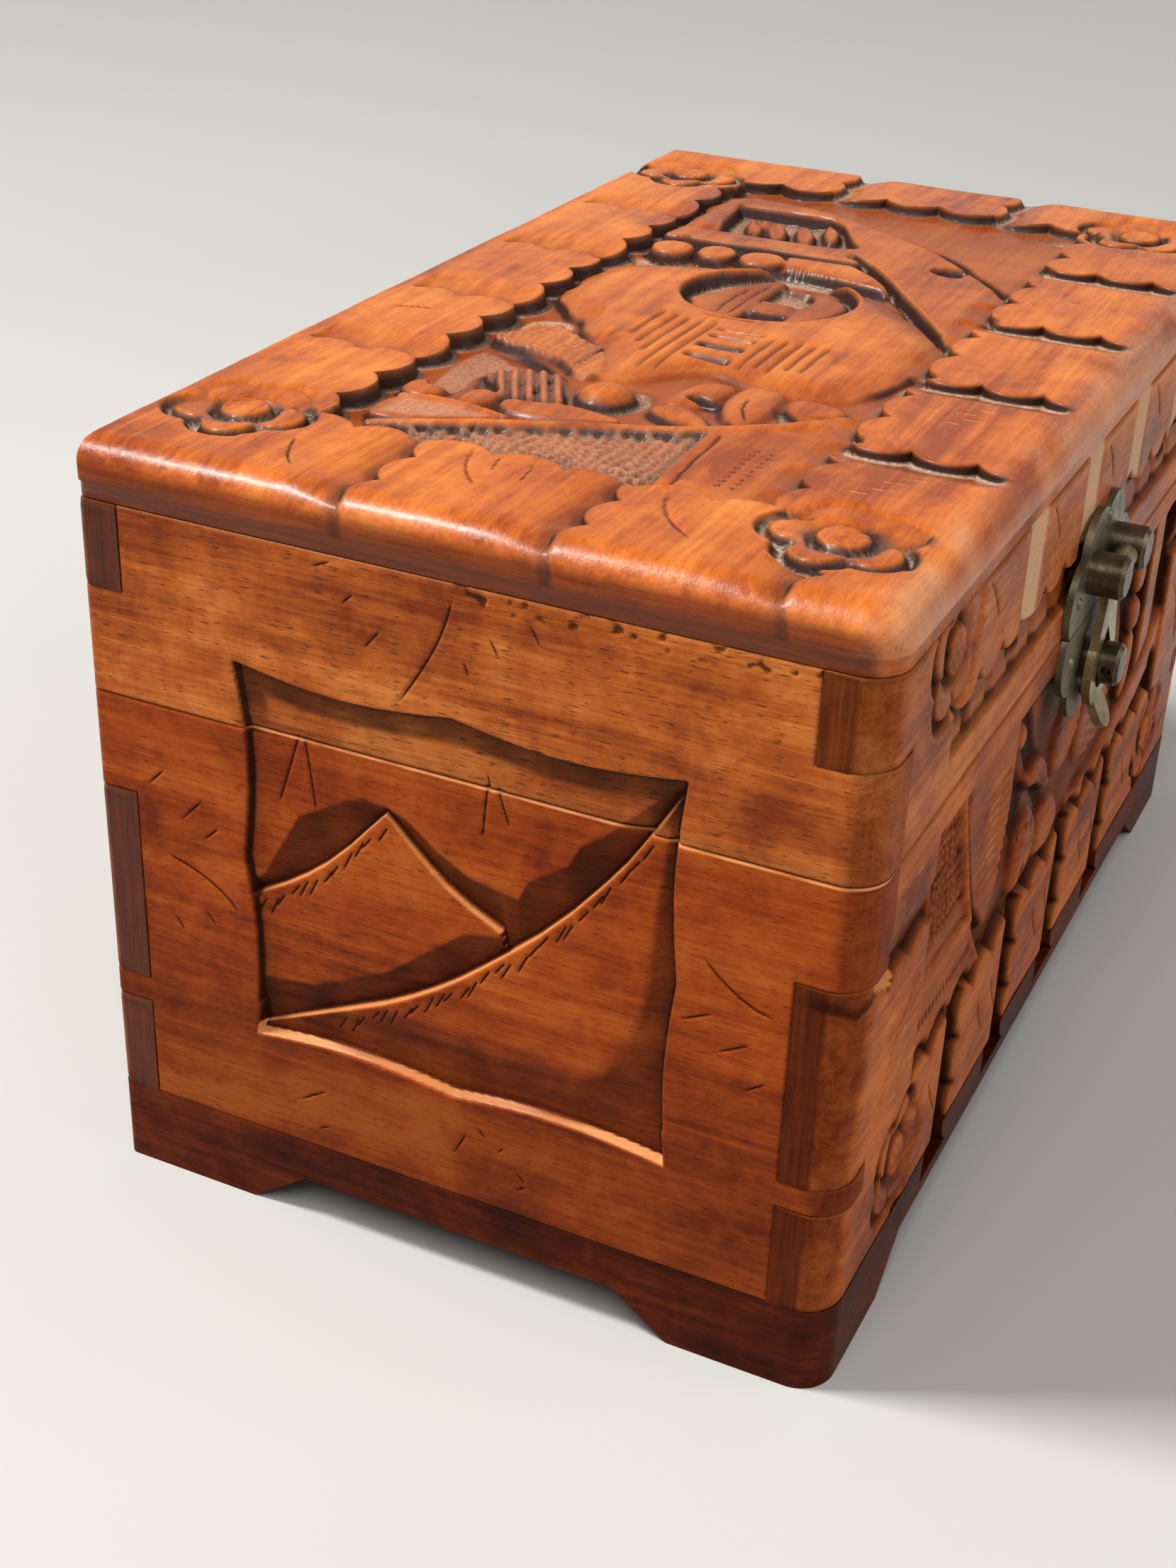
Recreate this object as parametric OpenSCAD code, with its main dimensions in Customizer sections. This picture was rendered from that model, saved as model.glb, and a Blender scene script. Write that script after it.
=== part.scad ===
// Carved wooden trinket box: finger-jointed boards, a lifting lid, a post-and-hasp clasp and two butt hinges.
// X runs along the length, the carved front faces -Y, the hinges are at +Y and the floor is at Z = 0.

/* [Box] */
// Length over the two end boards
box_len = 220; // [190:1:260]
// Width from the front face to the back face
box_wid = 127; // [115:1:150]
// Height of the body boards
wall_h = 74; // [66:1:90]
// Height of the lid boards under the top board
rail_h = 31.3; // [28:0.1:38]
// Thickness of the top board
top_t = 8.9; // [8:0.1:11]
// Thickness of the base board
base_t = 7.8; // [6:0.1:10]
// Radius of the rounded upright front corners and of the top board's front and end edges
corner_r = 6; // [4:0.5:6]
// Radius of the upright back corners, which are only eased
back_r = 1.5; // [0.5:0.5:3]

/* [Boards] */
// Thickness of the carved front boards
front_t = 10; // [9:0.5:12]
// Thickness of the back boards
back_t = 7; // [6.5:0.5:9]
// Thickness of the end boards
end_t = 10; // [9:0.5:12]
// Height of the lowest front and back finger of the body
low_finger = 18.2; // [14:0.1:22]
// Height of the end board's finger above it
end_finger = 4.7; // [3:0.1:8]
// Height of the tall front and back finger above that
tall_finger = 34.5; // [28:0.1:36]
// Height of the front and back finger under the lid's top board
lid_finger = 13.7; // [10:0.1:18]

/* [Feet] */
// Height of the feet
foot_h = 7.3; // [5:0.1:12]
// Length of a foot along the front, at its top
foot_len = 35; // [25:1:45]
// Length of a foot along the end, at its top
foot_wid = 35.6; // [25:0.1:42]
// How far the foot's inner ends slope back
foot_slope = 10; // [4:0.5:12]

/* [Carving] */
// Depth of the scene in the lid
field_depth = 3.2; // [2:0.1:3.6]
// Depth of the framed scene in each end
panel_depth = 3; // [2:0.1:3.6]
// Depth of the scene in the front
front_depth = 2.8; // [2:0.1:3.4]
// Depth of the band along the lid's front
band_depth = 2; // [1:0.1:3]
// Spacing of the scallops around each scene
scallop_pitch = 11.6; // [9:0.1:15]
// How far each scallop stands into the scene
scallop_rise = 3.1; // [2:0.1:4]
// Width of the framed scene in each end
panel_wid = 72.6; // [60:0.1:76]
// Height of the framed scene above the base board
panel_low = 18.5; // [14:0.1:24]
// Height of the framed scene's top above the seam
panel_high = 10.6; // [8:0.1:14]
// How far each half side of the frame bows inwards
panel_bow = 2.2; // [1:0.1:3]
// Radius of a carved blossom over its petals
blossom_r = 10.4; // [8:0.1:11]
// Distance of each blossom's middle from the box's end
blossom_inset = 22.5; // [20:0.5:30]
// Distance of the lid's blossoms from the front and the back
blossom_edge = 15; // [13:0.5:18]
// Width of the lid's front and back borders together
border_wid = 48.5; // [44:0.5:56]
// Width of the lid's two end borders together
border_len = 46.4; // [44:0.1:60]
// Distance of the front's band and scene from the box's ends
front_border = 30.5; // [27:0.5:36]

/* [Clasp] */
// Radius of the lobed clasp plate
plate_r = 20; // [18:0.5:22]
// Thickness of the clasp plate
plate_t = 1.2; // [0.8:0.1:1.6]
// Radius of the two hasp posts and the lock post
post_r = 3.8; // [3:0.1:4.2]
// How far the posts stand out of the plate
post_len = 6.1; // [5.5:0.1:7.5]
// Spacing of the two hasp posts
post_gap = 14.6; // [13.8:0.1:16]
// Height of the hasp posts above the seam
hasp_post_z = 8.7; // [8:0.1:10]
// Depth of the lock post below the seam
lock_post_z = 10.3; // [9:0.1:12]
// Thickness of the hasp
hasp_t = 1.5; // [1:0.1:1.8]
// Width of the hasp where it hangs between the posts
hasp_wid = 5.8; // [4:0.1:5.8]
// How far the hasp's tongue turns out, in degrees
tongue_tilt = 26; // [10:1:30]
// Radius of the hasp's ring
ring_r = 7.8; // [7:0.1:8.6]
// Width of the hasp's turned-out tongue
tongue_wid = 6; // [4:0.1:7]
// Radius of the hasp's pin
hasp_pin_r = 0.9; // [0.6:0.1:1.1]

/* [Hinges] */
// Length of a hinge leaf
leaf_len = 26; // [20:1:34]
// Height of a hinge leaf from the hinge line
leaf_h = 13; // [10:0.5:17]
// Thickness of the leaves
leaf_t = 1; // [0.8:0.1:1.2]
// Radius of the hinge knuckles
knuckle_r = 1.7; // [1.5:0.1:2]
// Radius of the hinge pins
hinge_pin_r = 0.8; // [0.6:0.1:0.9]
// Distance of each hinge's middle from the box's end
hinge_inset = 42; // [38:1:60]

/* [Fits] */
// Radial clearance of the hinge pins and the hasp pin
running = 0.05; // [0.02:0.01:0.1]
// Gap between curved or passing metal faces
gap = 0.3; // [0.2:0.05:0.5]

/* [Hidden] */
half_len = box_len / 2;
half_wid = box_wid / 2;
base_z = foot_h;
wall_z = foot_h + base_t;
seam_z = wall_z + wall_h;
top_z = seam_z + rail_h;
crown_z = top_z + top_t;
eps = 0.01;
cut = 1;
mm = 0.4;

// How far below the face the raised forms of a scene end
bell_drop = 0.5;
chain_drop = 0.6;
sweep_drop = 0.8;
leaf_drop = 0.9;
hill_drop = 1.2;
eye_drop = 1.5;
field_drop = 1.8;

// How far a leaf of each border ends above the next
front_step = 1.8;
back_step = 1;
left_step = 1.4;
right_step = 1.6;
low_step = 2.4;
band_step = 1.4;
blossom_deep = 2.2;

wood = "#a4552a";
dark_wood = "#6e2f1a";
brass = "#8c8468";

$fn = 64;

// Radius of the arc over a chord that bows by sag in its middle.
function arc_radius(chord, sag) = chord * chord / (8 * sag) + sag / 2;

// Points of a cut outline, each given as shares of a w by h field, from its middle.
function placed(points, w, h) = [for (p = points) [p[0] * w, p[1] * h]];

// Points of a scene drawn in mm for a box 220 long; high is the field's growth across that length.
function drawn(points, high) = [for (p = points) [p[0] * box_len / 220, p[1] * high]];

// Stands a flat outline up on the front face, from a near depth to a far one towards +Y.
module from_front(far, near = -cut) {
    translate([0, -half_wid, 0]) rotate([-90, 0, 0]) translate([0, 0, near])
        linear_extrude(far - near) mirror([0, 1]) children();
}

// Stands a flat outline, drawn in Y and Z, up on the left end face and gives it a depth towards +X.
module from_left(depth) {
    translate([-half_len - cut, 0, 0]) rotate([90, 0, 90]) linear_extrude(depth + cut) children();
}

// Sinks a flat outline into the top face, from a near depth to a far one.
module from_top(far, near = -cut) {
    translate([0, 0, crown_z - far]) linear_extrude(far - near) children();
}

// A rectangle given by its two opposite corners.
module area(low, high) {
    translate(low) square(high - low);
}

// The box seen from above, with rounded front corners and eased back corners.
module plan_outline() {
    area([-half_len + corner_r, -half_wid], [half_len - corner_r, 0]);
    area([-half_len, -half_wid + corner_r], [half_len, half_wid - back_r]);
    area([-half_len + back_r, 0], [half_len - back_r, half_wid]);
    for (x = [-1, 1]) {
        translate([x * (half_len - corner_r), -half_wid + corner_r]) circle(r = corner_r);
        translate([x * (half_len - back_r), half_wid - back_r]) circle(r = back_r);
    }
}

// Keeps whatever lies inside the rounded plan between two heights.
module within_plan(z0, z1) {
    intersection() {
        translate([0, 0, z0]) linear_extrude(z1 - z0) plan_outline();
        children();
    }
}

// Moves a piece along Y so that the posts in front and the knuckles behind reach equally far from the origin.
module centred() {
    translate([0, (plate_t + post_len - gap - 2 * knuckle_r) / 2, 0]) children();
}

// A box given by its two opposite corners.
module block(low, high) {
    translate(low) cube(high - low);
}

// Carved outlines

// A frame outline whose sides each bow inwards as two arcs that meet in a point.
module bracket_outline(w, h, bow) {
    r_w = arc_radius(w / 2 - mm, bow);
    r_h = arc_radius(h / 2 - mm, bow);
    difference() {
        square([w, h], center = true);
        for (s = [-1, 1], t = [-1, 1]) {
            translate([s * w / 4, t * (h / 2 - bow + r_w)]) circle(r = r_w, $fn = 180);
            translate([s * (w / 2 - bow + r_h), t * h / 4]) circle(r = r_h, $fn = 180);
        }
    }
}

// A row of round scallops along X that stand up from the line Y = 0.
module scallop_row(length) {
    count = round(length / scallop_pitch);
    pitch = length / count;
    r = arc_radius(pitch - mm, scallop_rise);
    for (i = [0 : count - 1])
        translate([(i + 0.5 - count / 2) * pitch, scallop_rise - r]) circle(r = r);
}

// The field of a scene, with scallops on the sides that are asked for.
module scalloped_field(w, h, front = true, back = true, ends = true) {
    difference() {
        square([w, h], center = true);
        if (front) translate([0, -h / 2]) scallop_row(w);
        if (back) translate([0, h / 2]) rotate(180) scallop_row(w);
        if (ends) {
            translate([-w / 2, 0]) rotate(-90) scallop_row(h);
            translate([w / 2, 0]) rotate(90) scallop_row(h);
        }
    }
}

// The trench around a blossom of five petals and a round heart.
module blossom_trench() {
    petal_r = blossom_r * 0.42;
    difference() {
        circle(r = blossom_r + 0.8);
        circle(r = blossom_r * 0.36);
        for (i = [0 : 4])
            rotate(90 + i * 72) translate([blossom_r - petal_r, 0]) circle(r = petal_r);
    }
}

// Lid

field_w = box_len - border_len;
field_h = box_wid - border_wid;
field_pos = [2.6, 2.4];

// An outline of the lid's scene, drawn from the box's middle.
module lid_shape(points) {
    polygon(drawn(points, box_wid / 127));
}

// The large bell-shaped form in the middle of the lid's scene.
module bell_form() {
    lid_shape([
        [-42.8, 10.2], [-29, 16], [-21, 25], [-14.6, 27], [-12.4, 31.4], [-5, 37.6], [4, 39], [18, 38.6],
        [22.6, 34], [28.4, 18.4], [29.6, 4], [27.4, -9], [20, -17.6], [3.3, -33.6], [-10, -33.4],
        [-33, -26.6], [-31.8, -9.6], [-28.3, -3.5], [-33, 2]
    ]);
}

// The sweeping band with its window, and the upright strip beside it.
module sweep_forms() {
    difference() {
        lid_shape([
            [51, 37.5], [66, 38.8], [76, 38], [80, 33], [79, 24], [76.6, 14.4], [70.6, 3.6], [61.8, -10.4],
            [54, -18.6], [36, -33.6], [4, -34], [16, -24.6], [28, -16.4], [40, -8], [51.4, 3]
        ]);
        lid_shape([[51.4, 29.4], [58, 31.2], [70, 32.6], [70.2, 14], [67, 9.6], [53.4, 1.6], [51.2, 8]]);
        lid_shape([[43, -21.6], [44.4, -16.8], [47.4, -15.2], [49.8, -20.4], [48.6, -22]]);
    }
    lid_shape([[42.4, 38], [50, 37.4], [50.4, 2], [42, -6]]);
}

// The bare ground right of the sweeping band.
module right_ground() {
    lid_shape([
        [81, 36], [90, 42], [90, -38], [38.4, -38], [39.6, -33.2], [55, -19.4], [63.4, -10.8],
        [72, 2.8], [78.4, 14]
    ]);
}

// The bare hill and the pricked slope at the left of the lid's scene.
module hill_forms() {
    lid_shape([[-84, 33], [-79, 31], [-56.8, -14.8], [-48, -25], [-40, -30.5], [-36, -38], [-84, -38]]);
}

// The leaves between the slope and the bell form.
module foliage_forms() {
    lid_shape([[-75.5, 36], [-67, 35.5], [-63.9, 31], [-64.2, 23], [-66.5, 13.5], [-71, 21]]);
    lid_shape([[-62, 19.5], [-58.5, 19.8], [-55.6, 16], [-56.4, 4.5], [-59.2, -2.8], [-63.6, 14]]);
    lid_shape([[-58.4, 20.5], [-46.4, 30], [-42.4, 23], [-42.2, 17.5], [-48, 13.5], [-56, 9]]);
    lid_shape([
        [-43.5, 14.5], [-36.5, 20], [-33.6, 27], [-32, 36.5], [-25.5, 33.6], [-18.6, 33], [-24.5, 22.5],
        [-27.6, 16.4], [-37.5, 10.6]
    ]);
    lid_shape([[-55.6, -9], [-51.2, -0.6], [-47.2, -2.6], [-46.8, -7], [-56.6, -13.6]]);
    lid_shape([[-46.5, -1], [-33.5, -3.5], [-32.6, -10], [-45.6, -8.2]]);
    lid_shape([[-53.2, -17.2], [-47.5, -12], [-31.8, -11], [-32.3, -17], [-46, -18.8]]);
    lid_shape([[-46, -24.4], [-40.5, -19.6], [-33.6, -18.8], [-34, -27], [-38.5, -30.5]]);
}

// The round bud in front of the bell form, domed from the scene's floor.
module bud() {
    bud_r = 7;
    translate([-47.8 * box_len / 220, 7.4 * box_wid / 127, crown_z - bud_r - 0.2]) sphere(r = bud_r);
}

// The chain of lobes behind the bell form, with its long tail.
module chain_forms() {
    for (at = drawn([[34.4, 32.2], [35.8, 23.6], [35.8, 14.4]], box_wid / 127))
        translate(at) circle(r = 4.5);
    lid_shape([[33.6, 8.8], [41, 11.4], [41.4, -2], [36, -8.6], [29.4, -14.6], [30.4, -7], [32.2, 0]]);
}

// The roof, the post and the bowl that are left standing in the bell form's eye.
module eye_forms() {
    lid_shape([[-3, 5.6], [0.2, 11], [3.4, 15.4], [8, 17.4], [15, 14.6], [26.8, 8], [33, 5.4]]);
    lid_shape([[6.4, 6], [13, 6], [12.6, -3], [6.8, -3]]);
    lid_shape([[-3, -1.6], [19.6, -2.6], [22.4, 0.4], [23, -5], [19, -10], [13.6, -10.8], [6, -8.4]]);
}

// The round eye sunk into the bell form.
module eye_cut() {
    eye_r = field_h * 0.2;
    difference() {
        from_top(field_depth + 0.3) translate([14.2 * box_len / 220, 4.3 * box_wid / 127]) circle(r = eye_r);
        from_top(field_depth + cut, eye_drop) eye_forms();
    }
}

// What is cut away for the lid's scene.
module lid_scene() {
    deep = field_depth + cut;
    difference() {
        from_top(field_depth) translate(field_pos) scalloped_field(field_w, field_h);
        from_top(deep, bell_drop) bell_form();
        from_top(deep, chain_drop) chain_forms();
        from_top(deep, sweep_drop) sweep_forms();
        from_top(deep, leaf_drop) foliage_forms();
        from_top(deep, hill_drop) hill_forms();
        from_top(deep, field_drop) right_ground();
        bud();
    }
    eye_cut();
}

// A step between two border leaves on the face Z = 0. It slopes down towards +X and ends at the scalloped
// edge of the next leaf, which lies higher; length is along Y.
module leaf_step(length, depth, scallops = 3) {
    run = 11;
    toe = 3;
    pitch = length / scallops;
    r = arc_radius(pitch - mm, 2.6);
    difference() {
        rotate([90, 0, 0]) linear_extrude(length, center = true)
            polygon([[-run, 0], [0, -depth], [toe, -depth], [toe, cut], [-run, cut]]);
        for (i = [0 : scallops - 1])
            translate([r - mm, (i + 0.5 - scallops / 2) * pitch, -depth - cut])
                cylinder(r = r, h = depth + 3 * cut);
    }
}

// The steps between the leaves of the lid's four borders, which overlap each other all the way round.
module top_leaf_steps() {
    edge = corner_r / 2;
    leaf_pitch = field_w / 5;
    front_w = half_wid - field_h / 2 + field_pos[1] - edge;
    back_w = half_wid - field_h / 2 - field_pos[1] - edge;
    left_w = half_len - field_w / 2 + field_pos[0] - edge;
    right_w = half_len - field_w / 2 - field_pos[0] - edge;
    for (i = [-1.5 : 1.5])
        translate([i * leaf_pitch - 1, edge + front_w / 2 - half_wid, crown_z]) leaf_step(front_w, front_step);
    for (i = [-1.4 : 1.6])
        translate([i * leaf_pitch, half_wid - edge - back_w / 2, crown_z])
            mirror([1, 0, 0]) leaf_step(back_w, back_step);
    for (i = [-0.2, 0.21])
        translate([edge + left_w / 2 - half_len, field_pos[1] + i * field_h, crown_z])
            rotate(-90) leaf_step(left_w, left_step);
    for (i = [-0.24, 0.2])
        translate([half_len - edge - right_w / 2, field_pos[1] + i * field_h, crown_z])
            rotate(90) leaf_step(right_w, right_step);
}

// The top board before carving, rounded along its front and end edges.
module top_slab() {
    side = half_len - corner_r;
    front = -half_wid + corner_r;
    axis_z = crown_z - corner_r;
    within_plan(top_z, axis_z) block([-half_len, -half_wid, top_z], [half_len, half_wid, axis_z]);
    block([-side, front, top_z], [side, half_wid, crown_z]);
    translate([0, front, axis_z]) rotate([0, 90, 0]) cylinder(r = corner_r, h = 2 * side, center = true);
    for (x = [-1, 1]) {
        translate([x * side, front, axis_z]) sphere(r = corner_r);
        translate([x * side, half_wid - back_r, axis_z]) rotate([90, 0, 0])
            cylinder(r = corner_r, h = box_wid - corner_r - back_r);
        translate([x * side, half_wid, axis_z]) rotate([90, 0, 0])
            cylinder(r = corner_r - back_r, h = back_r + mm);
    }
}

module top_board() {
    centred() color(wood) difference() {
        intersection() {
            top_slab();
            block([-half_len, -half_wid, top_z], [half_len, half_wid, crown_z]);
        }
        lid_scene();
        for (x = [-1, 1], y = [-1, 1])
            translate([x * (half_len - blossom_inset), y * (half_wid - blossom_edge), 0])
                from_top(blossom_deep) blossom_trench();
        top_leaf_steps();
    }
}

// The notches in an end board of the lid that its front and back boards' fingers fill.
module lid_fingers() {
    finger_z = top_z - lid_finger;
    block([-half_len - cut, -half_wid - cut, finger_z], [half_len + cut, -half_wid + front_t, top_z + cut]);
    block([-half_len - cut, half_wid - back_t, finger_z], [half_len + cut, half_wid + cut, top_z + cut]);
}

// The band under the lid's front leaves, with their scalloped lower edge.
module band_outline() {
    w = box_len - 2 * front_border;
    translate([0, seam_z + 6.5]) difference() {
        translate([-w / 2, 0]) square([w, 9.6]);
        translate([0, 9.6]) rotate(180) scallop_row(w);
    }
}

module lid_long_board(y0, y1) {
    finger_z = top_z - lid_finger;
    within_plan(seam_z, top_z) union() {
        block([-half_len, y0, finger_z], [half_len, y1, top_z]);
        block([-half_len + end_t, y0, seam_z], [half_len - end_t, y1, top_z]);
    }
}

// The steps between the leaves above the band, cut into the lid's front.
module lid_leaf_steps() {
    leaf_pitch = field_w / 5;
    leaf_low = seam_z + 13;
    leaf_high = top_z + cut;
    for (i = [-1.25, -0.28, 0.77, 1.7])
        translate([i * leaf_pitch, -half_wid, (leaf_low + leaf_high) / 2]) rotate([90, 0, 0])
            mirror([1, 0, 0]) leaf_step(leaf_high - leaf_low, band_step, 2);
}

module lid_front_board() {
    centred() color(wood) difference() {
        lid_long_board(-half_wid, -half_wid + front_t);
        lid_leaf_steps();
        from_front(band_depth) band_outline();
        for (x = [-1, 1])
            from_front(band_depth)
                translate([x * (half_len - front_border + 2), top_z - blossom_r + 3.9]) blossom_trench();
    }
}

module lid_back_board() {
    centred() color(wood) lid_long_board(half_wid - back_t, half_wid);
}

// An end's framed scene, in Y and Z, with its middle at the frame's middle.
panel_h = wall_h - panel_low + panel_high;
panel_z = wall_z + panel_low + panel_h / 2;

// The further mountain, whose peak stands left of the middle.
module far_mountain() {
    ridge = [
        [0.52, -0.12], [0.4, -0.05], [0.28, 0.05], [0.16, 0.2], [0.09, 0.13], [-0.02, 0.03],
        [-0.14, -0.04], [-0.14, -0.3], [0.52, -0.5]
    ];
    polygon(placed(ridge, panel_wid, panel_h));
}

// The nearer mountain, which rises to the right of the frame.
module near_mountain() {
    ridge = [
        [0.4, -0.45], [0.25, -0.37], [0.11, -0.28], [-0.01, -0.15], [-0.14, -0.04], [-0.28, 0.11],
        [-0.42, 0.31], [-0.52, 0.33], [-0.52, -0.52], [0.4, -0.52]
    ];
    polygon(placed(ridge, panel_wid, panel_h));
}

// What is cut away for an end's framed scene: the sky deepest, the nearer mountain least.
module panel_cut() {
    translate([0, 0, panel_z]) difference() {
        from_left(panel_depth) bracket_outline(panel_wid, panel_h, panel_bow);
        from_left(panel_depth) far_mountain();
        from_left(panel_depth) near_mountain();
    }
    translate([0, 0, panel_z]) {
        from_left(panel_depth * 0.65) intersection() {
            bracket_outline(panel_wid, panel_h, panel_bow);
            difference() {
                far_mountain();
                near_mountain();
            }
        }
        from_left(panel_depth * 0.35) intersection() {
            bracket_outline(panel_wid, panel_h, panel_bow);
            near_mountain();
        }
    }
}

module lid_end() {
    centred() color(wood) difference() {
        within_plan(seam_z, top_z) block([-half_len, -half_wid, seam_z], [-half_len + end_t, half_wid, top_z]);
        lid_fingers();
        panel_cut();
    }
}

module lid_left_end() {
    lid_end();
}

module lid_right_end() {
    mirror([1, 0, 0]) lid_end();
}

// Body

finger_1 = wall_z + low_finger;
finger_2 = finger_1 + end_finger;
finger_3 = finger_2 + tall_finger;

// The notches in an end board that the fingers of the board between y0 and y1 fill.
module body_fingers(y0, y1) {
    block([-half_len - cut, y0, wall_z - cut], [half_len + cut, y1, finger_1]);
    block([-half_len - cut, y0, finger_2], [half_len + cut, y1, finger_3]);
}

module body_long_board(y0, y1) {
    within_plan(wall_z, seam_z) union() {
        block([-half_len, y0, wall_z], [half_len, y1, finger_1]);
        block([-half_len, y0, finger_2], [half_len, y1, finger_3]);
        block([-half_len + end_t, y0, wall_z], [half_len - end_t, y1, seam_z]);
    }
}

// The scene in the front, scalloped along its foot.
front_w = box_len - 2 * front_border;
front_h = wall_h - 28;
front_z = seam_z - 6 - front_h / 2;

// An outline of the front scene, drawn from the scene's middle.
module front_shape(points) {
    polygon(drawn(points, front_h / 46));
}

// The slopes at the left of the front scene.
module front_hills() {
    front_shape([[-90, 30], [-67, 30], [-57, 0], [-47, -16], [-40, -30], [-90, -30]]);
    front_shape([[-65, 30], [-34, 30], [-34, 0], [-36, -8], [-42, -14], [-52, -4]]);
}

// The knobs and leaves below and beside the clasp.
module front_leaves() {
    front_shape([[-33, 20], [-28.5, 19], [-28, 14.6], [-32, 13.6], [-34.6, 16.6]]);
    front_shape([[-25, 6], [-14, 7], [-6, -2], [-8, -5], [-14, 0], [-21, 2]]);
    front_shape([[-26, -10], [-23.5, -3.6], [-16, -3], [-11.6, -8], [-12.4, -14], [-20, -18], [-26.4, -17]]);
    front_shape([[-12, -10], [-5, -7], [3, -10], [6, -15], [0, -20], [-10, -18]]);
    front_shape([[-3, 9], [12, 10], [15, 0], [4, -7], [-3.5, -2]]);
    front_shape([[17, 2], [30, 2], [41, -4], [38, -13], [20, -13], [14, -8]]);
}

// The chain of lobes, the strip and the sweeping band at the right of the front scene.
module front_bands() {
    for (at = drawn([[50.6, 14.6], [50.6, 6.6]], front_h / 46))
        translate(at) circle(r = 4.3);
    front_shape([[47, 3], [54, 3], [53.4, -9], [46, -12.4]]);
    front_shape([[57.4, 30], [66.4, 30], [66, -4], [57.4, -9]]);
    front_shape([[14, -17.4], [48, -12.6], [64, -8.6], [90, 0], [90, -13], [60, -19], [40, -30], [14, -30]]);
}

// What is cut away for the front scene.
module front_scene() {
    deep = front_depth + cut;
    translate([0, 0, front_z]) difference() {
        from_front(front_depth) scalloped_field(front_w, front_h, front = true, back = false, ends = false);
        from_front(deep, bell_drop) front_bands();
        from_front(deep, chain_drop) front_leaves();
        from_front(deep, sweep_drop) front_hills();
    }
}

// The steps between the leaves under the front scene, which run on over the base board's edge.
module front_leaf_steps() {
    leaf_pitch = field_w / 5;
    leaf_low = base_z + 2.5;
    leaf_high = front_z - front_h / 2;
    for (i = [-1.5 : 1.5])
        translate([i * leaf_pitch * 0.97 - 4, -half_wid, (leaf_low + leaf_high) / 2]) rotate([90, 0, 0])
            leaf_step(leaf_high - leaf_low, low_step);
}

module front_board() {
    centred() color(wood) difference() {
        body_long_board(-half_wid, -half_wid + front_t);
        front_leaf_steps();
        front_scene();
        for (x = [-1, 1])
            from_front(blossom_deep)
                translate([x * (half_len - front_border + 2), wall_z + blossom_r + 1.4]) blossom_trench();
    }
}

module back_board() {
    centred() color(wood) body_long_board(half_wid - back_t, half_wid);
}

module end_board() {
    centred() color(wood) difference() {
        within_plan(wall_z, seam_z)
            block([-half_len, -half_wid, wall_z], [-half_len + end_t, half_wid, seam_z]);
        body_fingers(-half_wid - cut, -half_wid + front_t);
        body_fingers(half_wid - back_t, half_wid + cut);
        panel_cut();
    }
}

module left_end_board() {
    end_board();
}

module right_end_board() {
    mirror([1, 0, 0]) end_board();
}

module base_board() {
    centred() color(dark_wood) difference() {
        within_plan(base_z, wall_z) block([-half_len, -half_wid, base_z], [half_len, half_wid, wall_z]);
        front_leaf_steps();
    }
}

// A corner block at the front left, whose two inner ends slope back under the box.
module foot_block() {
    intersection() {
        translate([-half_len, 0, 0]) rotate([90, 0, 0]) linear_extrude(half_wid)
            polygon([[0, 0], [foot_len - foot_slope, 0], [foot_len, foot_h], [0, foot_h]]);
        translate([0, -half_wid, 0]) rotate([90, 0, -90]) linear_extrude(half_len)
            polygon([[0, 0], [-foot_wid + foot_slope, 0], [-foot_wid, foot_h], [0, foot_h]]);
    }
}

// A foot in one corner: -1 is left or front, 1 is right or back.
module foot(x, y) {
    centred() color(dark_wood) within_plan(0, base_z)
        mirror([x > 0 ? 1 : 0, 0, 0]) mirror([0, y > 0 ? 1 : 0, 0]) foot_block();
}

module foot_front_left() {
    foot(-1, -1);
}

module foot_front_right() {
    foot(1, -1);
}

module foot_back_left() {
    foot(-1, 1);
}

module foot_back_right() {
    foot(1, 1);
}

// Clasp

plate_y = -half_wid - plate_t;
pin_y = plate_y - 3.2;
pin_z = seam_z + hasp_post_z;
lock_z = seam_z - lock_post_z;
eye_r = hasp_pin_r + 1.1;
rivet_r = 1.2;
nail_r = 0.6;
nail_head_r = 1.1;
nail_len = 6;
nail_spread = 14;
nail_fit = 0.1;

// The eight-lobed outline of the whole clasp plate, with its middle on the seam.
module lobed_plate() {
    lobe_r = plate_r * 0.38;
    circle(r = plate_r * 0.78);
    for (i = [0 : 7])
        rotate(22.5 + i * 45) translate([plate_r - lobe_r, 0]) circle(r = lobe_r);
}

// The clasp's nails on the upper half, from the seam's middle, and mirrored below it.
upper_nails = [[0, plate_r - 3.6], [-nail_spread, 5.4], [nail_spread, 5.4]];
lower_nails = [[0, 3.6 - plate_r], [-nail_spread, -5.4], [nail_spread, -5.4]];

// One half of the plate, above the seam when side is 1 and below it when side is -1.
module half_plate(side, nails) {
    translate([0, 0, seam_z]) from_plate() difference() {
        intersection() {
            lobed_plate();
            translate([-2 * plate_r, side > 0 ? gap / 2 : -2 * plate_r - gap / 2])
                square([4 * plate_r, 2 * plate_r]);
        }
        for (p = nails) translate(p) circle(r = nail_r + nail_fit);
        children();
    }
}

// Stands an outline up as a plate that lies on the front face.
module from_plate() {
    translate([0, plate_y, 0]) rotate([-90, 0, 0]) linear_extrude(plate_t) mirror([0, 1]) children();
}

module clasp_upper_plate() {
    centred() color(brass) half_plate(1, upper_nails) {
        for (x = [-1, 1]) translate([x * post_gap / 2, hasp_post_z]) circle(r = rivet_r + 0.02);
    }
}

module clasp_lower_plate() {
    centred() color(brass) half_plate(-1, lower_nails) {
        translate([0, -lock_post_z]) circle(r = rivet_r + 0.02);
    }
}

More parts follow.
